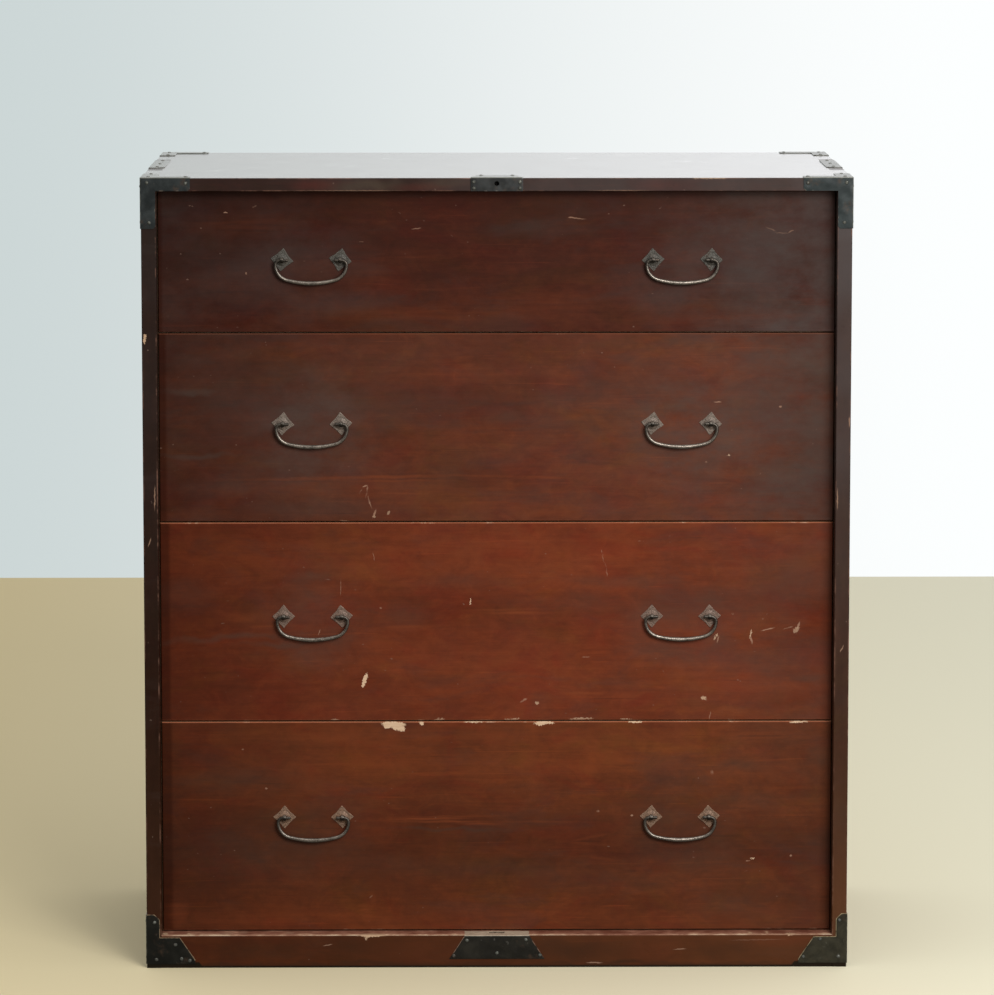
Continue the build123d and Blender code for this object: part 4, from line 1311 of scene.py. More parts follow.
# ----- Sheet iron -----
class Ways(Enum):
    """How a face of the case is measured: its first and second direction, and the way it looks."""

    FRONT_DOWN = ((1, 0, 0), (0, 0, -1), (0, -1, 0))
    FRONT_UP = ((1, 0, 0), (0, 0, 1), (0, -1, 0))
    SIDE_DOWN = ((0, 1, 0), (0, 0, -1), (-1, 0, 0))
    SIDE_UP = ((0, 1, 0), (0, 0, 1), (-1, 0, 0))
    SIDE_BACK = ((0, 0, -1), (0, 1, 0), (-1, 0, 0))
    FLAT_BACK = ((1, 0, 0), (0, 1, 0), (0, 0, 1))


@dataclass(frozen=True)
class IronFace:
    """A face of the case that an iron is laid on, seen from outside at a corner.

    Attributes:
        corner: The face's corner on the case, mm.
        first: Direction in which the first distance is measured.
        second: Direction in which the second distance is measured.
        outward: The way the face looks.
    """

    corner: Place
    first: Place
    second: Place
    outward: Place

    def skin(self, first: Array, second: Array, lift: Array | float) -> Array:
        """Points on the face at two distances from its corner, raised by lift.

        Args:
            first: Distances along the first direction, mm.
            second: Distances along the second direction, mm.
            lift: Heights above the wood, mm.

        Returns:
            The points.
        """
        lift = np.broadcast_to(lift, np.shape(first))
        parts = zip((first, second, lift), (self.first, self.second, self.outward))
        return np.array(self.corner) + sum(np.asarray(size)[..., None] * np.array(way, float) for size, way in parts)

    def mirrored(self, hand: Hand, end: End = End.FRONT) -> IronFace:
        """The same face at another corner of the case."""
        parts, flip = (self.corner, self.first, self.second, self.outward), (-hand.value, end.value, 1)
        return IronFace(*(tuple(a * b for a, b in zip(part, flip)) for part in parts))


@dataclass(frozen=True)
class CaseSizes:
    """Outside sizes of the case and the irons' thickness, mm."""

    half_width: float = 455.0
    half_depth: float = 227.5
    height: float = 1030.0
    base_height: float = 42.5
    iron: float = 1.0

    def left(self, ways: Ways, z: float) -> IronFace:
        """A face measured from the front left corner at a height."""
        return IronFace((-self.half_width, -self.half_depth, z), *ways.value)

    def middle(self, ways: Ways, z: float) -> IronFace:
        """A face measured from the middle of the front at a height."""
        return IronFace((0.0, -self.half_depth, z), *ways.value)


class SheetIron:
    """A piece of sheet iron built up from flat patches that share their fold lines; sizes in mm."""

    THICKNESS: ClassVar[float] = 0.98
    FOLD_RADIUS: ClassVar[float] = 0.8
    EDGE_RADIUS: ClassVar[float] = 0.2

    def __init__(self, node: str, seed: int) -> None:
        """Starts an empty sheet for a node, with the seed of its unevenness."""
        self.node, self.seed = node, seed
        self.work = Patchwork()

    def patch(
        self, face: IronFace, first: Array, second: Array, outline: list[Pair], folds: Pair, keep: Array | None = None
    ) -> None:
        """Lays a patch of the sheet and paints how far each point is from its edges.

        The skin lies one thickness above the wood and is lifted a little more by seeded
        dents, which die out at the edges and folds. A patch with an opening stays flat,
        because a drawer slides close above it.

        Args:
            face: The face it lies on.
            first: First distances of the grid, rows by columns.
            second: Second distances of the grid.
            outline: Corners of the sheet on this face.
            folds: Distances at which the sheet folds, first and second, or a large number.
            keep: Which faces of the grid stay round an opening, or None for a whole patch.
        """
        first, second = np.broadcast_arrays(first, second)
        flat = np.stack([first, second], axis=-1)
        cut = outline_distance(flat, np.array(outline))
        fold = np.minimum(np.abs(first - folds[0]), np.abs(second - folds[1]))
        if keep is None:
            ease = np.clip(np.minimum(cut / 3, fold / 4), 0, 1)
            lift, paint = 1.0 + 0.11 * ease * (1 + dents(flat, 17.0, self.seed)), fold
        else:
            lift, paint = 1.0 - 0.02 * (fold > 0.01), fold * 0.04
        grid, cut = face.skin(first, second, lift), np.where(fold < 0.05, 9.0, cut)
        self.work.lay(grid, (False, False), np.array(face.outward, float), keep, cut=cut, fold=paint)

    def finish(self, material: Material) -> None:
        """Gives the sheet its thickness, rounded folds and softened edges, and places it.

        Args:
            material: Its finish.
        """
        made = self.work.finish(f"{self.node}_sheet")
        round_folds = made.modifiers.new("folds", "BEVEL")
        round_folds.width, round_folds.segments = self.FOLD_RADIUS * MM, 3
        round_folds.limit_method, round_folds.angle_limit = "ANGLE", math.radians(50)
        thick = made.modifiers.new("thickness", "SOLIDIFY")
        thick.thickness, thick.offset, thick.use_even_offset = self.THICKNESS * MM, -1.0, True
        soft = made.modifiers.new("edges", "BEVEL")
        soft.width, soft.segments, soft.harden_normals = self.EDGE_RADIUS * MM, 2, True
        soft.limit_method, soft.angle_limit = "ANGLE", math.radians(55)
        fit(made, "case", self.node, material)


@dataclass
class CornerIrons:
    """The four three-legged irons over the corners of the top."""

    sizes: CaseSizes
    leg: float = 63.0
    drop: float = 65.0
    band: float = 20.0
    front_height: float = 16.6
    stile_width: float = 18.6
    tip: float = 3.0

    def build(self, materials: tuple[Material, ...]) -> None:
        """Builds all four from one pattern: each face with the width and the drop of its L.

        Args:
            materials: The left irons' finish and the right ones'.
        """
        faces = (
            (Ways.FRONT_DOWN, self.front_height, self.drop, self.stile_width),
            (Ways.SIDE_DOWN, self.band, self.drop, self.band),
            (Ways.FLAT_BACK, self.band, self.leg, self.band),
        )
        for index, (end, hand) in enumerate((end, hand) for end in End for hand in Hand):
            iron = SheetIron(f"top_{end.name.lower()}_{hand.name.lower()}_corner_iron", 100 + index)
            for ways, *sizes in faces:
                self.angle(iron, self.sizes.left(ways, self.sizes.height).mirrored(hand, end), *sizes)
            iron.finish(materials[hand is Hand.RIGHT])

    def angle(self, iron: SheetIron, face: IronFace, run_width: float, drop: float, drop_width: float) -> None:
        """Lays one L with chamfered tips in two patches that share a line.

        In the drop the columns shrink with the chamfer at its tip, and in the run the rows do.

        Args:
            iron: The piece that it belongs to.
            face: The face that it lies on.
            run_width: Width of the leg along the first direction.
            drop: Length of the leg along the second direction.
            drop_width: Width of that leg.
        """
        edge, leg, tip = -self.sizes.iron, self.leg, self.tip
        outline = [
            (edge, edge), (leg, edge), (leg, run_width - tip), (leg - tip, run_width),
            (drop_width, run_width), (drop_width, drop - tip), (drop_width - tip, drop), (edge, drop),
        ]
        shared = (edge, edge + 1.5, self.front_height, self.stile_width, self.band)
        across = lines_between(FINE_GRID, *shared, leg - tip, leg)
        down = lines_between(FINE_GRID, *shared, drop - tip, drop)
        near = across[across <= drop_width + 1e-6]
        far = across[across >= drop_width - 1e-6]
        rows = down[down <= run_width + 1e-6]
        width = drop_width - np.clip(down - (drop - tip), 0, None)
        iron.patch(face, squeezed(near[None], edge, drop_width, width[:, None]), down[:, None], outline, (edge, edge))
        height = run_width - np.clip(far - (leg - tip), 0, None)
        iron.patch(face, far[None], squeezed(rows[:, None], edge, run_width, height[None]), outline, (edge, edge))


@dataclass
class FootIrons:
    """The irons round the two front feet."""

    sizes: CaseSizes
    stile_widths: Pair = (17.0, 14.0)
    height: float = 71.0
    chamfer: float = 7.0
    rail_height: float = 40.5
    shoulder: float = 43.0
    reach: float = 62.8
    tip_height: float = 11.0
    lift: float = 5.5

    def build(self, materials: tuple[Material, ...]) -> None:
        """Builds the left and the right iron, the right one with a narrower leg.

        Args:
            materials: The left iron's finish and the right one's.
        """
        for hand, stile_width, material in zip(Hand, self.stile_widths, materials):
            iron = SheetIron(f"front_{hand.name.lower()}_foot_iron", 120 + hand.value)
            for ways in (Ways.FRONT_UP, Ways.SIDE_UP):
                self.leaf(iron, self.sizes.left(ways, 0.0).mirrored(hand), stile_width)
            iron.finish(material)

    def leaf(self, iron: SheetIron, face: IronFace, stile: float) -> None:
        """Lays one face: a tall leg up the stile, and a leg that slopes down along the rail.

        The tall leg's columns shrink with the chamfer at its top, and the sloping leg's rows
        follow the slope.

        Args:
            iron: The piece that it belongs to.
            face: The face that it lies on.
            stile: Width of the tall leg.
        """
        edge, low, chamfer, rail = -self.sizes.iron, self.lift, self.chamfer, self.rail_height
        outline = [
            (edge, low), (self.reach, low), (self.reach, self.tip_height), (self.shoulder, rail),
            (stile, rail), (stile, self.height - chamfer), (stile - chamfer, self.height), (edge, self.height),
        ]
        near = lines_between(FINE_GRID, edge, edge + 1.5, stile)
        up = lines_between(FINE_GRID, low, rail, self.height - chamfer, self.height)
        far = lines_between(FINE_GRID, stile, self.shoulder, self.reach)
        width = stile - np.clip(up - (self.height - chamfer), 0, None)
        iron.patch(face, squeezed(near[None], edge, stile, width[:, None]), up[:, None], outline, (edge, NO_FOLD))
        rows = up[up <= rail + 1e-6]
        top = np.interp(far, [stile, self.shoulder, self.reach], [rail, rail, self.tip_height])
        iron.patch(face, far[None], squeezed(rows[:, None], low, rail, top[None]), outline, (edge, NO_FOLD))


@dataclass
class EdgeIrons:
    """The irons folded over the middle of the top's two side edges."""

    sizes: CaseSizes
    half_length: float = 67.0
    width: float = 20.0
    shift: float = 8.0
    chamfer: float = 10.0

    def build(self, materials: tuple[Material, ...]) -> None:
        """Builds both irons, each a flat leaf on the top and one on the side.

        Args:
            materials: The left iron's finish and the right one's.
        """
        edge = -self.sizes.iron
        middle = self.sizes.half_depth + self.shift
        low, high = middle - self.half_length, middle + self.half_length
        rows = lines_between(WIDE_GRID, low, low + self.chamfer, high - self.chamfer, high)
        columns = lines_between(FINE_GRID, edge, edge + 1.5, self.width)
        width = self.width - np.clip(np.abs(rows - middle) - self.half_length + self.chamfer, 0, None)
        first = squeezed(columns[None], edge, self.width, width[:, None])
        narrow = self.width - self.chamfer
        outline = [
            (edge, low), (narrow, low), (self.width, low + self.chamfer),
            (self.width, high - self.chamfer), (narrow, high), (edge, high),
        ]
        for hand in Hand:
            iron = SheetIron(f"{hand.name.lower()}_edge_iron", 130 + hand.value)
            for ways in (Ways.FLAT_BACK, Ways.SIDE_BACK):
                face = self.sizes.left(ways, self.sizes.height).mirrored(hand)
                iron.patch(face, first, rows[:, None], outline, (edge, NO_FOLD))
            iron.finish(materials[hand is Hand.RIGHT])


@dataclass
class LockPlate:
    """The plate on the middle of the top's front edge, folded back, with a bolt hole."""

    sizes: CaseSizes
    half_width: float = 33.5
    front_height: float = 16.8
    flap_depth: float = 36.0
    flap_half_rear: float = 25.0
    hole_radius: float = 3.1
    hole_below: float = 7.0

    def build(self, material: Material) -> None:
        """Builds the front leaf as rings between the hole and the rectangle, and the flap.

        On the front leaf each ring is a blend of the hole's circle and the rectangle's
        outline, and on the flap each row narrows towards the rear.

        Args:
            material: Its finish.
        """
        edge, half, low = -self.sizes.iron, self.half_width, self.front_height
        rear, depth = self.flap_half_rear, self.flap_depth
        across = np.linspace(-half, half, 33)
        level = np.linspace(edge, low, 9)[1:-1]
        sides = ((across, edge), (half, level), (across[::-1], low), (-half, level[::-1]))
        rim = np.concatenate([np.stack(np.broadcast_arrays(*side), axis=1) for side in sides])
        middle = np.array([0.0, self.hole_below])
        away = rim - middle
        hole = middle + self.hole_radius * away / np.linalg.norm(away, axis=1, keepdims=True)
        share = np.array([0, 0.04, 0.1, 0.2, 0.35, 0.5, 0.65, 0.8, 0.92, 1.0])[:, None, None]
        grid = hole[None] + share * (rim - hole)[None]
        wide = np.concatenate([grid, grid[:, :1]], axis=1)
        iron = SheetIron("lock_plate", 140)
        front = self.sizes.middle(Ways.FRONT_DOWN, self.sizes.height)
        corners = [(-half, edge), (half, edge), (half, low), (-half, low)]
        iron.patch(front, wide[..., 0], wide[..., 1], corners, (NO_FOLD, edge))
        back = lines_between(WIDE_GRID, edge, edge + 1.5, depth)
        width = np.interp(back, [0.0, depth], [half, rear])
        outline = [(-half, edge), (half, edge), (half, 0), (rear, depth), (-rear, depth), (-half, 0)]
        flap = self.sizes.middle(Ways.FLAT_BACK, self.sizes.height)
        iron.patch(flap, across[None] * width[:, None] / half, back[:, None], outline, (NO_FOLD, edge))
        iron.finish(material)


@dataclass
class BasePlate:
    """The plate on the middle of the base rail, let into the ledge, with a tongue slot."""

    sizes: CaseSizes
    top_half: float = 42.0
    bottom_half: float = 62.0
    low: float = 11.5
    flange_rear: float = 23.5
    slot_half: float = 10.0
    slot_front: float = 12.0
    slot_rear: float = 18.5

    def build(self, material: Material) -> None:
        """Builds the apron, whose rows widen downwards, and the flange with its slot.

        Args:
            material: Its finish.
        """
        s, top, bottom, high = self.sizes, self.top_half, self.bottom_half, self.sizes.base_height
        across = lines_between(WIDE_GRID, -top, -self.slot_half, self.slot_half, top)
        up = lines_between(WIDE_GRID, self.low, high - 1.5, high)
        width = np.interp(up, [self.low, high], [bottom, top])
        outline = [(-bottom, self.low), (bottom, self.low), (top, high), (-top, high)]
        iron = SheetIron("base_plate", 150)
        apron = s.middle(Ways.FRONT_UP, 0.0)
        iron.patch(apron, across[None] * width[:, None] / top, up[:, None], outline, (NO_FOLD, high))
        back = lines_between(FINE_GRID, -s.iron, 0.5, self.slot_front, self.slot_rear, self.flange_rear)
        outline = [(-top, -s.iron), (top, -s.iron), (top, self.flange_rear), (-top, self.flange_rear)]
        middle_x, middle_y = (across[1:] + across[:-1]) / 2, (back[1:] + back[:-1]) / 2
        inside_x = np.abs(middle_x) < self.slot_half
        inside_y = (middle_y > self.slot_front) & (middle_y < self.slot_rear)
        keep = ~(inside_y[:, None] & inside_x[None])
        flange = s.middle(Ways.FLAT_BACK, high - s.iron)
        iron.patch(flange, across[None], back[:, None], outline, (NO_FOLD, -s.iron), keep)
        iron.finish(material)


@dataclass
class IronNails:
    """Round-headed hand-made nails in every hole of the irons."""

    sizes: CaseSizes
    head_radius: float = 2.5
    head_height: float = 1.2
    shank_radius: float = 0.88
    length: float = 9.0
    sides: int = 14
    top_front: Pairs = ((8.0, 6.0), (57.5, 6.5), (10.5, 57.0))
    top_side: Pairs = ((9.0, 11.0), (57.0, 10.0), (10.0, 57.0))
    top_flat: Pairs = ((9.0, 10.0), (57.0, 10.0), (10.0, 57.0))
    foot_left: Pairs = ((10.3, 60.5), (37.0, 31.0), (12.2, 11.5), (45.0, 12.5), (55.8, 10.0))
    foot_right: Pairs = ((9.3, 62.0), (34.5, 37.0), (10.6, 14.0), (56.3, 13.7))
    foot_side: Pairs = ((9.0, 61.0), (36.0, 32.0), (12.0, 12.0), (54.0, 11.0))
    edge_places: Numbers = (181.5, 235.5, 289.5)
    edge_inset: float = 10.0
    lock_front: Pairs = ((-29.5, 5.0), (29.5, 5.0), (-29.5, 13.0), (29.5, 13.0))
    lock_flap: Pairs = ((-20.0, 29.0), (20.0, 29.0))
    base_front: Pairs = ((-39.0, 36.0), (37.6, 37.0), (-55.9, 15.8), (56.3, 16.5), (0.0, 19.3))

    def seats(self) -> list[tuple[Array, Array]]:
        """Finds the seats of the nails' heads.

        Returns:
            The place and the direction of every head.
        """
        s = self.sizes
        front, side, flat = (s.left(ways, s.height) for ways in (Ways.FRONT_DOWN, Ways.SIDE_DOWN, Ways.FLAT_BACK))
        top = ((front, self.top_front), (side, self.top_side), (flat, self.top_flat))
        sets = [(face.mirrored(hand, end), places) for end in End for hand in Hand for face, places in top]
        for hand, places in zip(Hand, (self.foot_left, self.foot_right)):
            feet = (
                (s.left(Ways.FRONT_UP, 0.0), places),
                (s.left(Ways.SIDE_UP, 0.0), self.foot_side),
                (flat, tuple((self.edge_inset, along) for along in self.edge_places)),
                (side, tuple((along, self.edge_inset) for along in self.edge_places)),
            )
            sets += [(face.mirrored(hand), places) for face, places in feet]
        sets.append((s.middle(Ways.FRONT_DOWN, s.height), self.lock_front))
        sets.append((s.middle(Ways.FLAT_BACK, s.height), self.lock_flap))
        sets.append((s.middle(Ways.FRONT_UP, 0.0), self.base_front))
        seats = ((face, pair) for face, places in sets for pair in places)
        return [(face.skin(*map(np.array, pair), s.iron), np.array(face.outward, float)) for face, pair in seats]

    def build(self, material: Material) -> None:
        """Builds every nail as a profile turned about its own axis.

        The head is a dome that falls off as 1 - radius squared, hammered a little flat and
        off round, and the shank tapers to a point.

        Args:
            material: Their finish.
        """
        share = np.array([0.0, 0.3, 0.6, 0.85, 1.0])
        shank = [self.head_radius * 0.96, self.shank_radius, self.shank_radius * 0.55, 0.0]
        radius = np.concatenate([share * self.head_radius, shank])
        dome = self.head_height * (1 - share**2.4) + 0.12
        height = np.concatenate([dome, [0.03, 0.02, -self.length * 0.75, -self.length]])
        turn = np.linspace(0, 2 * np.pi, self.sides, endpoint=False)
        draw = np.random.default_rng(7)
        work = Patchwork()
        for place, outward in self.seats():
            first = np.cross(outward, [0.36, 0.48, 0.8])
            first /= np.linalg.norm(first)
            second = np.cross(outward, first)
            wide = radius[:, None] * (1 + 0.07 * np.sin(turn * 2 + draw.uniform(0, 6)) * (radius[:, None] > 1.5))
            tall = np.minimum(height, self.head_height * draw.uniform(0.72, 0.97))
            offset = draw.uniform(-0.12, 0.12, 2)
            along_first = (wide * np.cos(turn) + offset[0])[..., None] * first
            along_second = (wide * np.sin(turn) + offset[1])[..., None] * second
            grid = place + along_first + along_second + tall[:, None, None] * outward
            grid[[0, -1]] = grid[[0, -1]].mean(axis=1, keepdims=True)
            bright = draw.uniform(0.35, 1.0) * np.clip(1.25 - radius / self.head_radius, 0.25, 1.0)
            work.lay(grid, touch=bright[:, None])
        fit(work.finish("iron_nails_domed"), "case", "iron_nails", material)


# ----- The chest -----
FRONT_MARKS: tuple[Marks, ...] = (
    {
        MarkKind.SCRATCH: (
            (-103, 963, 6.5, 0.7, 0.6, 4), (-88, 974.3, 3, 0.7, 0.8, 4), (103, 976, 11, 0.8, 0.6, -5),
            (96, 977, 4, 0.9, 0.9, -5), (352, 962, 7, 0.6, 0.3, -25), (366, 957, 8, 0.6, 0.3, -4),
            (378, 959, 4, 0.8, 0.5, 25), (-348, 983.6, 2.2, 0.8), (-311, 991.5, 3, 0.9, 1, 25), (-322, 905, 1.2, 1.6),
            (-174, 946, 3, 0.5, 0.5),
        ),
        MarkKind.RUB: (
            (-60, 853, 150, 9, 0.3), (300, 850, 80, 9, 0.2), (-330, 968, 60, 14, 0.2), (-150, 905, 34, 22, 0.16),
            (60, 868, 60, 14, 0.25),
        ),
        MarkKind.STAIN: (
            (-330, 900, 55, 30, 0.3), (-190, 868, 60, 12, 0.4), (330, 925, 60, 40, 0.35), (410, 960, 14, 60, 0.3),
            (200, 880, 50, 18, 0.35), (50, 962, 60, 10, 0.3),
        ),
    },
    {
        MarkKind.CHIP: (
            (-140, 594, 2.6, 1.6, 0.34, 40), (-158.5, 589, 2, 1.2, 0.42), (300, 668.5, 2.4, 1.2, 0.6, 20),
        ),
        MarkKind.SCRATCH: (
            (-168, 622, 8, 0.9, 1, 80), (-164, 607, 7, 0.9, 1, 110), (-158, 593, 6, 1.2, 1, 70),
            (-170, 629, 3, 1, 1, 20), (-192, 583, 10, 1, 1, -8), (284.8, 738.2, 5, 0.7), (270.4, 660, 1.6, 1.4),
            (366, 732, 1.6, 1.2), (340, 645, 1.4, 1.2), (112, 736, 2, 0.8, 0.7, 40), (-262, 640, 4, 0.6, 0.5, 5),
            (-176, 622, 3.5, 0.6, 0.6, 60), (-166, 612, 5, 0.6, 0.6, 95),
        ),
        MarkKind.RUB: (
            (-190, 640, 120, 2.2, 0.75, 1), (-120, 636, 70, 1.6, 0.5), (-150, 624, 170, 9, 0.3),
            (-20, 642, 60, 1.6, 0.5, -1), (60, 640, 30, 1.8, 0.7), (-40, 605, 120, 10, 0.3),
            (-80, 770, 100, 12, 0.25), (280, 690, 60, 8, 0.2), (300, 608, 30, 8, 0.25), (-50, 700, 90, 16, 0.2),
        ),
        MarkKind.STAIN: (
            (-392, 752, 30, 4.5, 0.8), (-385, 668, 40, 3, 0.6), (-310, 735, 80, 40, 0.3), (-330, 628, 60, 14, 0.35),
            (-220, 600, 90, 10, 0.4), (120, 745, 60, 16, 0.4), (330, 745, 70, 28, 0.35), (408, 700, 16, 90, 0.5),
            (-130, 730, 60, 30, 0.25), (40, 715, 50, 8, 0.3),
        ),
    },
    {
        MarkKind.CHIP: (
            (-171.3, 374.4, 10.2, 2.3, 1, 72), (-34, 478, 1, 4.6), (284.5, 431.6, 4.6, 1.1, 0.6, 62),
            (329.5, 435, 6.2, 1, 0.62, 78), (388.5, 440, 5, 3, 0.36, 55), (268.6, 350.6, 4, 2.2, 0.6, -20),
            (52.3, 344.3, 2.4, 2, 0.5), (-75, 322.7, 8, 1.4, 0.4, 8), (20, 323, 10, 1.2, 0.4, 4),
            (110, 323.4, 16, 1.4, 0.42, 2), (168, 322.6, 8, 1, 0.4), (-210, 322.8, 5, 1, 0.4),
        ),
        MarkKind.SCRATCH: (
            (136.5, 541, 4.6, 0.55, 1, -75), (139.5, 529, 9, 0.6, 1, -70), (142.2, 517, 6, 0.6, 1, -82),
            (287, 428, 4.5, 0.8, 1, 75), (330.6, 427, 5, 1.2, 1, 100), (391, 445, 6, 1.2, 1, 70),
            (378, 443, 6, 0.8, 1, 15), (352, 441, 9, 0.7, 1, 12), (277, 326.8, 5.6, 0.6, 1, 80),
            (-158.8, 536.5, 5.4, 0.5, 1, -78), (187, 557, 3.6, 0.7), (-202, 497, 10, 0.35, 1, 88),
            (-150, 470, 1.4, 1.3), (306, 462, 1.6, 1.4), (-230, 438, 4, 0.5, 1, 70), (35, 348, 5, 1.3, 1, 30),
            (116, 405, 5, 0.6, 1, 4),
        ),
        MarkKind.RUB: (
            (27, 463, 36, 2, 0.85), (10, 467, 50, 1.6, 0.5, 1), (112, 357, 34, 1.8, 0.8, 1), (95, 352, 50, 1.4, 0.4),
            (280, 377, 70, 18, 0.4), (-150, 548, 180, 9, 0.3), (60, 550, 120, 8, 0.35), (-110, 445, 34, 2.2, 0.55, 2),
            (-290, 446, 26, 2, 0.5, 3), (60, 520, 60, 14, 0.25), (-60, 400, 90, 20, 0.2), (200, 440, 70, 12, 0.2),
            (330, 360, 70, 12, 0.3), (150, 500, 50, 5, 0.3),
        ),
        MarkKind.STAIN: (
            (-400, 490, 30, 16, 0.35), (-345, 432, 80, 4, 0.6, 4), (-265, 424, 60, 3.5, 0.5, 2),
            (-238, 512, 26, 7, 0.6), (-120, 462, 30, 16, 0.35), (170, 505, 70, 8, 0.45), (240, 478, 60, 22, 0.4),
            (120, 480, 40, 12, 0.35), (230, 413, 40, 8, 0.3), (380, 505, 60, 20, 0.4, -8), (405, 378, 24, 4, 0.6, 6),
            (300, 405, 80, 12, 0.3), (-40, 505, 70, 8, 0.3),
        ),
    },
    {
        MarkKind.CHIP: (
            (-134, 316.6, 16, 3.6, 1, -2), (-128, 312, 9, 3.6, 1, -8), (-141, 314.2, 6, 3, 1, 14),
            (-122, 309.6, 3.4, 2.4, 1, 20), (-97.5, 317.6, 3.6, 2.2, 1, -20), (61.5, 318.2, 13.5, 2),
            (57, 316.6, 6, 1.8, 1, 4), (180, 319.2, 9, 1.2), (-30, 319.4, 12, 0.9), (392, 319, 12, 1.3, 1, 2),
            (333.6, 138, 2.2, 0.9),
        ),
        MarkKind.SCRATCH: (
            (-84, 322, 6, 1), (-164, 88, 2.6, 1, 0.5, 50), (131.9, 201.4, 1.8, 1.6), (383.8, 141.8, 1.6, 1.4),
            (176, 195.5, 1.7, 1.5), (328, 135, 3, 0.9, 1, 10), (280, 252, 2, 3.4), (-300, 232, 1.6, 1.2),
            (-330, 284, 1.4, 1.2),
        ),
        MarkKind.RUB: (
            (-169, 62, 7, 20, 0.42, 10), (-162, 85, 4, 7, 0.6), (-95, 191.5, 42, 1.7, 0.9, 1),
            (-80, 188, 60, 1.5, 0.85, -0.5), (-20, 184.5, 26, 1.6, 0.8, -1), (-60, 194.5, 70, 1.2, 0.5, 0.5),
            (60, 187, 60, 1.6, 0.4), (-20, 243, 60, 1.8, 0.35), (-60, 300, 240, 10, 0.35), (230, 300, 120, 9, 0.25),
            (-415, 66, 12, 18, 0.5), (-60, 262, 130, 14, 0.22), (120, 166, 26, 1.6, 0.4, 12),
            (118, 158, 34, 1.6, 0.35, -4), (112, 150, 40, 1.8, 0.3), (130, 140, 30, 1.6, 0.3, -8),
            (20, 150, 110, 8, 0.2), (-330, 60, 80, 12, 0.3), (330, 62, 90, 12, 0.25), (0, 66, 110, 9, 0.35),
            (-120, 56, 70, 8, 0.25),
        ),
        MarkKind.STAIN: (
            (312, 262, 30, 7, 0.5), (420, 275, 12, 14, 0.5), (330, 215, 50, 10, 0.4), (-60, 178, 70, 2.4, 0.55),
            (0, 125, 160, 14, 0.3), (-330, 150, 90, 40, 0.3), (160, 110, 110, 16, 0.3), (-330, 240, 80, 14, 0.3),
            (250, 140, 60, 26, 0.3), (-130, 130, 60, 12, 0.3),
        ),
    },
)
SIDE_MARKS: Marks = {
    MarkKind.CHIP: (
        (-451.4, 823.5, 6.2, 2.2, 1, 84),
    ),
    MarkKind.SCRATCH: (
        (-440, 617.6, 15, 0.8, 1, 89), (-447, 560, 6, 0.7, 1, 70), (438.6, 615.3, 13, 0.8, 1, 90),
        (453.1, 715, 6.5, 0.9, 1, 90), (446, 420, 5, 0.7, 1, 65),
    ),
}
TOP_MARKS: Marks = {
    MarkKind.CHIP: (
        (272, 1029.6, 22, 0.9, 0.6),
    ),
    MarkKind.SCRATCH: (
        (-190, 1013.8, 68, 0.6, 0.5), (158, 1013.8, 38, 0.6, 0.5),
    ),
    MarkKind.RUB: (
        (-232, 1021, 26, 7, 0.6), (215, 1021, 32, 8, 0.45), (-100, 1018, 30, 5, 0.5),
    ),
    MarkKind.STAIN: (
        (-165, 1020, 44, 8, 0.7), (-70, 1023, 30, 6, 0.5), (-366, 1030, 15, 6, 0.5, 0, -95),
        (-343, 1030, 10, 6, 0.4, 0, -95), (-262, 1030, 14, 6, 0.4, 0, -130), (88, 1030, 12, 6, 0.35, 0, -90),
    ),
}
RAIL_MARKS: Marks = {
    MarkKind.CHIP: (
        (-163, 42.3, 19, 1.8, 1, 0, -224), (-170, 39, 2.6, 1.4), (-432, 42.6, 4, 1.6, 1, 0, -216),
        (-401, 42.5, 2.4, 1.6, 1, 0, -218), (330, 42.6, 3, 1.4, 0.8, 0, -216), (352, 42.6, 2.2, 1.4, 0.8, 0, -214),
        (382, 42.4, 7, 1.2, 0.8, 0, -222),
    ),
    MarkKind.SCRATCH: (
        (238, 23.9, 8, 0.6, 1, 3), (127, 6, 10, 0.9), (-220, 30, 6, 0.6, 1, 10), (-352, 42.6, 9, 1.6, 0.7, 0, -214),
        (-330, 42.6, 6, 1.6, 0.7, 0, -210), (-270, 42.6, 6, 1.6, 0.6, 0, -212), (340, 36, 34, 0.6, 0.35, 1),
    ),
    MarkKind.RUB: (
        (205, 24, 26, 14, 0.5), (370, 36, 32, 7, 0.7), (-100, 20, 60, 12, 0.25),
    ),
    MarkKind.STAIN: (
        (100, 24, 60, 14, 0.7), (-300, 22, 60, 12, 0.6), (-190, 24, 30, 14, 0.5), (300, 22, 40, 10, 0.5),
        (-200, 4, 240, 3.4, 0.8), (200, 4, 240, 3.4, 0.8),
    ),
}


def dress(frame: dict, node: str, material: Material) -> None:
    """Gives a node of the case or a drawer its finish.

    Args:
        frame: The loaded frame.
        node: Name of the node.
        material: The finish.
    """
    made = frame["nodes"][node]
    if not made.material_slots:
        made.data.materials.append(material)
    for slot in made.material_slots:
        slot.material = material
    LOG.info("%s wears %s", node, material.name)


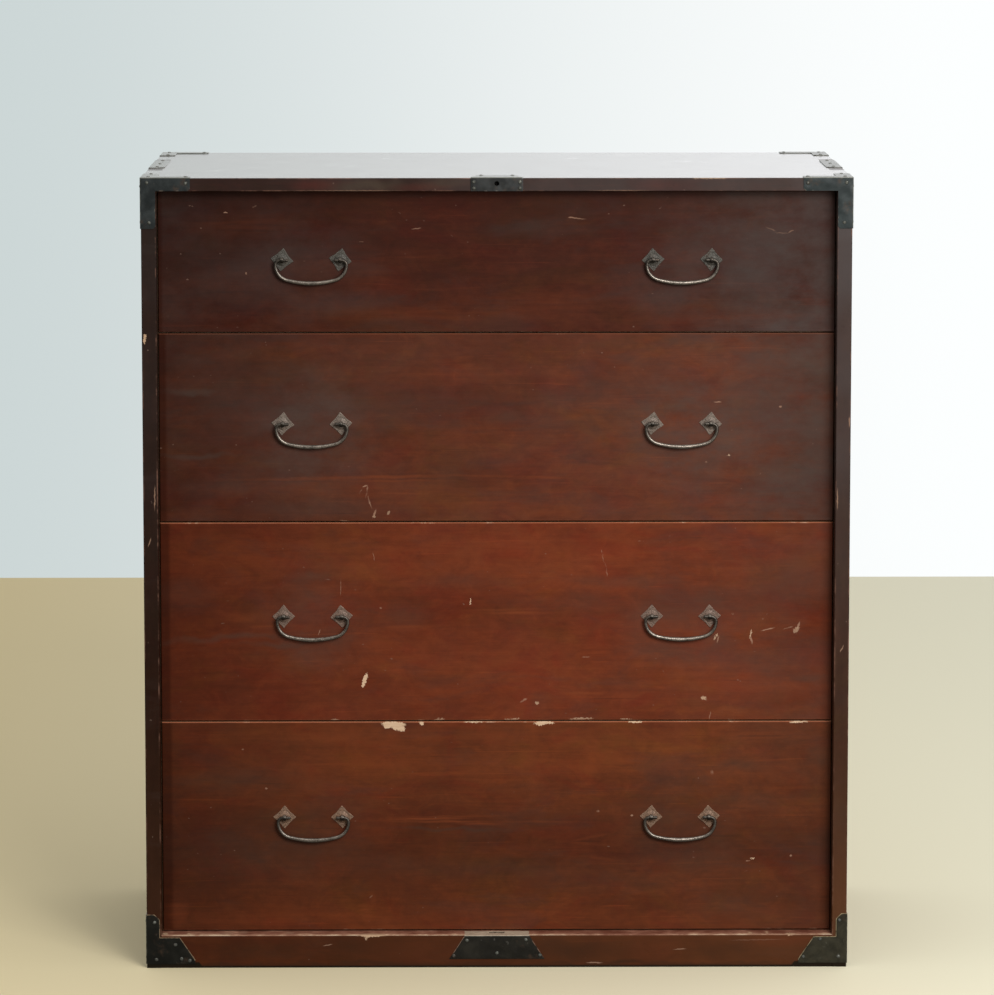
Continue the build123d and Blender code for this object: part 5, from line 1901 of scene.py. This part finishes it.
@dataclass
class Drawer:
    """One drawer with its front, box and handles."""

    front: FrontLacquer
    plate_turns: tuple[float, float, float, float]
    plate_finish: ForgedIronFinish

    def build(self, frame: dict, handle_iron: Material, box: dict[Grain, Material]) -> None:
        """Dresses the boards and builds the handles.

        Args:
            frame: The loaded frame.
            handle_iron: Finish of the bails and pins.
            box: Finish of the box's boards for each direction of grain.
        """
        number, pivot_z = self.front.number, self.front.pivot_z
        name = f"drawer_{number}"
        dress(frame, f"{name}_front", self.front.material())
        for grain, parts in ((Grain.ALONG, ("left_side", "right_side")), (Grain.ACROSS, ("back", "bottom"))):
            for part in parts:
                dress(frame, f"{name}_{part}", box[grain])
        plates = HandlePlates(number, pivot_z, turns=self.plate_turns).build()
        fit(plates, name, f"{name}_handle_plates", self.plate_finish.material())
        fit(SplitPins(number, pivot_z).build(), name, f"{name}_split_pins", handle_iron)
        for hand in Hand:
            body = f"{name}_{hand.name.lower()}_bail"
            fit(BailHandles(number, pivot_z).build(hand), body, body, handle_iron)


def make_drawers() -> list[Drawer]:
    """Lists the four drawers from the top down, each with its own grain, bloom and marks.

    Returns:
        The drawers.
    """
    return [
        Drawer(
            FrontLacquer(
                1, 829.5, 1011.0, 922.75,
                Figure((0.03, 0.008, 0.0042), (0.05, 0.0113, 0.0052), (0.084, 0.019, 0.0078), 1.0, 0.8, 0.3),
                (0.2, 0.09, -0.06, -0.16), (0.1, 0.43, 0.11, 0.03), (0.076, 0.06, 0.053),
                (0.55, 0.06), 0.15, (-431.0, 0.6), 0.04,
                FRONT_MARKS[0],
            ),
            (-8, -10, 3, -3), ForgedIronFinish("plate_iron_green", (0.05, 0.045, 0.036), (0.108, 0.094, 0.074)),
        ),
        Drawer(
            FrontLacquer(
                2, 583.5, 827.5, 710.5,
                Figure((0.054, 0.0138, 0.0062), (0.094, 0.022, 0.009), (0.148, 0.035, 0.0122), 2.0, 0.8, 0.3),
                (0.11, 0.09, -0.02, -0.05), (0.02, 0.32, 0.26, 0.11), (0.08, 0.058, 0.047),
                (0.62, 0.26), 0.5, (-427.0, 0.8), 0.16,
                FRONT_MARKS[1],
            ),
            (-6, 4, -8, -4), ForgedIronFinish("plate_iron_grey", (0.122, 0.094, 0.072), (0.265, 0.198, 0.152)),
        ),
        Drawer(
            FrontLacquer(
                3, 322.0, 581.5, 458.75,
                Figure((0.078, 0.0158, 0.0055), (0.132, 0.0248, 0.0079), (0.2, 0.04, 0.0118), 3.2, 0.8, 0.25),
                (0.08, 0.06, -0.06, 0.12), (-0.04, 0.15, 0.18, 0.07), (0.085, 0.052, 0.037),
                (0.54, 0.16), 0.42, (-424.0, 1.0), 0.65,
                FRONT_MARKS[2],
            ),
            (0, 5, 0, 2), ForgedIronFinish("plate_iron_tan", (0.13, 0.084, 0.06), (0.27, 0.168, 0.12)),
        ),
        Drawer(
            FrontLacquer(
                4, 44.5, 320.0, 194.25,
                Figure((0.058, 0.0143, 0.0054), (0.098, 0.0228, 0.0072), (0.16, 0.036, 0.01), 4.1, 0.8, 0.25),
                (0.12, -0.2, 0.06, 0.22), (0.01, 0.13, 0.12, 0.05), (0.072, 0.045, 0.03),
                (0.5, 0.06), 0.4, (-423.0, 1.0), 0.7,
                FRONT_MARKS[3],
            ),
            (0, 2, -3, 4), ForgedIronFinish("plate_iron_copper", (0.155, 0.09, 0.054), (0.32, 0.182, 0.11)),
        ),
    ]


@dataclass
class Case:
    """The case: its lacquered boards, bare inner boards and irons."""

    frame: dict
    sizes: CaseSizes = field(default_factory=CaseSizes)

    def lacquer_boards(self) -> None:
        """Gives the sides, the top and the base's front rail their lacquer."""
        # lit and shaded copies: the left side's darker figure is painted shade, the right side's lighter one painted
        # light
        left = Figure((0.014, 0.0048, 0.0023), (0.024, 0.0082, 0.0038), (0.042, 0.015, 0.007), 5.0, 0.6, 0.3)
        right = Figure((0.028, 0.012, 0.007), (0.047, 0.019, 0.0105), (0.076, 0.031, 0.017), 5.6, 0.6, 0.3)
        top = Figure((0.015, 0.0054, 0.0032), (0.026, 0.0085, 0.005), (0.06, 0.0155, 0.008), 6.3, 0.8, 0.3)
        rail = Figure((0.032, 0.0066, 0.0021), (0.05, 0.0104, 0.0031), (0.09, 0.019, 0.0049), 7.7, 0.7, 0.2)
        sides = {
            Hand.LEFT: {"figure": left, "bloom_and_sheen": 1.5, "bloom_and_sheen_colour": (0.04, 0.042, 0.042)},
            Hand.RIGHT: {"figure": right, "bloom_and_sheen": 0.8, "bloom_and_sheen_colour": (0.078, 0.064, 0.061)},
        }
        finishes = {
            f"{hand.name.lower()}_side_panel": CaseLacquer(
                f"{hand.name.lower()}_side_lacquer", grain=Grain.UPRIGHT, marks=SIDE_MARKS,
                worn_x=(436.3, 454.7), bare_inside=436.0, painted_floor_light=0.45, **looks,
            )
            for hand, looks in sides.items()
        }
        finishes["top_board"] = CaseLacquer(
            "top_lacquer", top, Grain.ACROSS, TOP_MARKS, worn_z=(1013.3, 1029.7), bloom_and_sheen=0.55,
            bloom_and_sheen_colour=(0.092, 0.07, 0.064), stain=(0.085, 0.062, 0.04), rub=(0.12, 0.022, 0.014), gloss=1.0,
        )
        finishes["base_front_rail"] = CaseLacquer(
            "rail_lacquer", rail, Grain.ACROSS, RAIL_MARKS, worn_z=(0.6,), ledge_z=self.sizes.base_height,
            painted_floor_light=0.42, stain=(0.036, 0.0165, 0.008),
        )
        for node, finish in finishes.items():
            dress(self.frame, node, finish.material())

    def bare_boards(self) -> None:
        """Leaves the boards inside and behind as bare timber."""
        pale = Figure((0.17, 0.105, 0.058), (0.31, 0.2, 0.115), (0.41, 0.285, 0.175), 0.4)
        aged = Figure((0.095, 0.06, 0.037), (0.19, 0.125, 0.078), (0.29, 0.2, 0.13), 0.9)
        inside = ("bottom_board", "divider_1", "divider_2", "divider_3")
        for finish, nodes in (
            (BareTimber("divider_timber", pale, Grain.ACROSS, 120.0, 0.35), inside),
            (BareTimber("rear_rail_timber", aged, Grain.ACROSS, 170.0, 0.5), ("base_rear_rail",)),
            (BareTimber("back_timber", aged, Grain.ACROSS, 130.0, 0.5, 247.75), ("back_boards",)),
        ):
            material = finish.material()
            for node in nodes:
                dress(self.frame, node, material)

    def build_irons(self) -> None:
        """Builds every iron and its nails."""
        over = (0.0, 1029.8)
        looks = {
            "left_top": ((0.0122, 0.0158, 0.016), (0.0265, 0.0325, 0.032), (0.18, 0.14, 0.105), 0.2, 0.85, *over),
            "right_top": ((0.0125, 0.0185, 0.0183), (0.0275, 0.0365, 0.0355), (0.18, 0.15, 0.12), 0.2, 0.5, *over),
            "lock": ((0.015, 0.016, 0.0152), (0.032, 0.034, 0.0325), (0.17, 0.155, 0.13), 0.2, 0.8, *over),
            # the left foot iron is a darker copy as painted shade, the right one a lighter copy as painted light
            "left_foot": ((0.003, 0.003, 0.0016), (0.008, 0.0074, 0.0044), (0.36, 0.25, 0.145), 0.85, 0.65, 9.5),
            "right_foot": ((0.0175, 0.0155, 0.0074), (0.04, 0.0345, 0.018), (0.4, 0.3, 0.165), 1.0, 0.7, 9.5),
            "base": (
                (0.0065, 0.0055, 0.003), (0.0165, 0.0138, 0.008), (0.28, 0.16, 0.105), 0.6, 0.8, 14.0, 41.9,
                (0.7, 0.56, 0.4),
            ),
        }
        finishes = {name: SheetIronFinish(f"fitting_iron_{name}", *look).material() for name, look in looks.items()}
        nail = ForgedIronFinish("nail_iron_worn", (0.04, 0.04, 0.032), (0.2, 0.2, 0.165), 0.0003, 0.3, 0.5, 1029.9)
        for kind in (CornerIrons, EdgeIrons):
            kind(self.sizes).build((finishes["left_top"], finishes["right_top"]))
        FootIrons(self.sizes).build((finishes["left_foot"], finishes["right_foot"]))
        LockPlate(self.sizes).build(finishes["lock"])
        BasePlate(self.sizes).build(finishes["base"])
        IronNails(self.sizes).build(nail.material())


# ----- Studio -----
@dataclass
class Studio:
    """A plain pale room: floor, soft lamps, pale surroundings and the camera."""

    camera_height: float = 1.4748
    camera_distance: float = 5.79
    camera_aside: float = 0.00015
    yaw: float = 0.4818
    pitch: float = 6.2827
    focal_pixels: float = 4545.3
    axis_row: float = 327.9
    image_height: int = 995
    sensor: float = 36.0
    floor_rear: float = 2.87
    floor_half: float = 9.0

    def build(self) -> None:
        """Makes the whole studio."""
        self.make_camera()
        self.make_floor()
        self.make_world()
        self.make_lamp("key", (1.0, -3.6, 2.5), (0.0, -0.2, 0.5), 1.1, 42.0)
        self.make_lamp("side", (1.55, -3.05, 1.6), (0.1, -0.2, 0.55), 1.4, 60.0)
        bpy.context.scene.view_settings.view_transform = "Standard"

    def make_camera(self) -> None:
        """Sets the camera in front of the chest, turned a little to the right."""
        turn, tilt = math.radians(self.yaw), math.radians(self.pitch)
        data = bpy.data.cameras.new("camera")
        data.sensor_width = self.sensor
        data.lens = self.focal_pixels * self.sensor / self.image_height
        data.shift_y = (self.axis_row - self.image_height / 2) / self.image_height
        data.clip_end = 100.0
        camera = in_scene("camera", data)
        camera.location = (
            -self.camera_distance * math.sin(turn) + self.camera_aside,
            CASE_FRONT * MM - self.camera_distance * math.cos(turn),
            self.camera_height,
        )
        camera.rotation_euler = (math.pi / 2 - tilt, 0.0, -turn)
        bpy.context.scene.camera = camera

    def make_floor(self) -> None:
        """Lays a pale floor that ends where the wall would stand, with painted light that brightens it towards the
        right.
        """
        mesh = bpy.data.meshes.new("floor")
        half, rear = self.floor_half, self.floor_rear
        corners = [(-half, -half, 0), (half, -half, 0), (half, rear, 0), (-half, rear, 0)]
        mesh.from_pydata(corners, [], [(0, 1, 2, 3)])
        floor = in_scene("floor", mesh)
        sheet = Surface("floor_pale")
        # painted light: the floor seen by the camera brightens towards the right
        across = sheet.axes[0].step(-1.6, 1.6)
        seen = sheet.blend(across, (0.755, 0.605, 0.322), (1.0, 0.95, 0.74))
        colour = sheet.blend(sheet.get("Is Camera Ray", "LightPath"), (0.2, 0.18, 0.14), seen)
        mesh.materials.append(sheet.surface(colour, 0.8, Specular_IOR_Level=0.1))

    def make_world(self) -> None:
        """Pale surroundings: a bright wall behind, a dimmer room in front and a soft sky."""
        world = bpy.data.worlds.new("studio")
        bpy.context.scene.world = world
        world.use_nodes = True
        sheet = NodeSheet(world.node_tree, "Generated")
        x, y, z = sheet.axes
        path = sheet.node("LightPath")
        glossy, passed, camera = (
            Signal(sheet, path.outputs[f"Is {ray} Ray"]) for ray in ("Glossy", "Transmission", "Camera")
        )
        aside, ahead = x.step(-0.12, 0.12), y.step(-0.35, 0.35)
        wall = sheet.blend(aside, (0.6, 0.67, 0.67), (0.98, 1.0, 1.0))
        sheen = sheet.blend(aside, (0.69, 0.73, 0.72), (1.21, 1.22, 1.235))
        level = sheet.blend(ahead, (0.045, 0.046, 0.047), sheen)
        mirrored = sheet.blend(z.step(0.3, 0.75), level, (0.9, 0.9, 0.87))
        ambient = sheet.blend(z.step(-0.05, 0.8), (0.09, 0.092, 0.095), (0.72, 0.74, 0.76))
        unseen = sheet.blend(passed, sheet.blend(glossy, ambient, mirrored), wall)
        light = sheet.get(0, "Background", {"Color": sheet.blend(camera, unseen, wall), "Strength": 1.0})
        sheet.node("OutputWorld", {0: light})

    def make_lamp(self, name: str, place: Place, aim: Place, size: float, power: float) -> None:
        """Hangs a soft square lamp.

        Args:
            name: Its name.
            place: Where it hangs, metres.
            aim: The point that it faces.
            size: Length of its sides, metres.
            power: Its power, watts.
        """
        data = bpy.data.lights.new(name, "AREA")
        data.shape, data.size, data.energy = "SQUARE", size, power
        lamp = in_scene(name, data)
        lamp.location = place
        away = np.array(place) - np.array(aim)
        level = math.hypot(away[0], away[1])
        lamp.rotation_euler = (math.atan2(level, away[2]), 0.0, math.atan2(away[1], away[0]) + math.pi / 2)


def main() -> None:
    """Builds and dresses the chest, in order, and then the studio round it."""
    logging.basicConfig(level=logging.INFO, format="%(name)s: %(message)s")
    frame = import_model()
    handle = ForgedIronFinish("handle_iron_brown", (0.03, 0.025, 0.019), (0.34, 0.29, 0.24), 0.00007, 0.75, 0.42)
    handle_iron = handle.material()
    pale = Figure((0.2, 0.13, 0.075), (0.34, 0.235, 0.145), (0.45, 0.33, 0.215), 0.2)
    box = {
        grain: BareTimber(f"drawer_timber_{grain.name.lower()}", pale, grain, 110.0, 0.25).material()
        for grain in (Grain.ALONG, Grain.ACROSS)
    }
    case = Case(frame)
    case.lacquer_boards()
    case.bare_boards()
    for drawer in make_drawers():
        drawer.build(frame, handle_iron, box)
    case.build_irons()
    Studio().build()


if __name__ == "__main__":
    main()
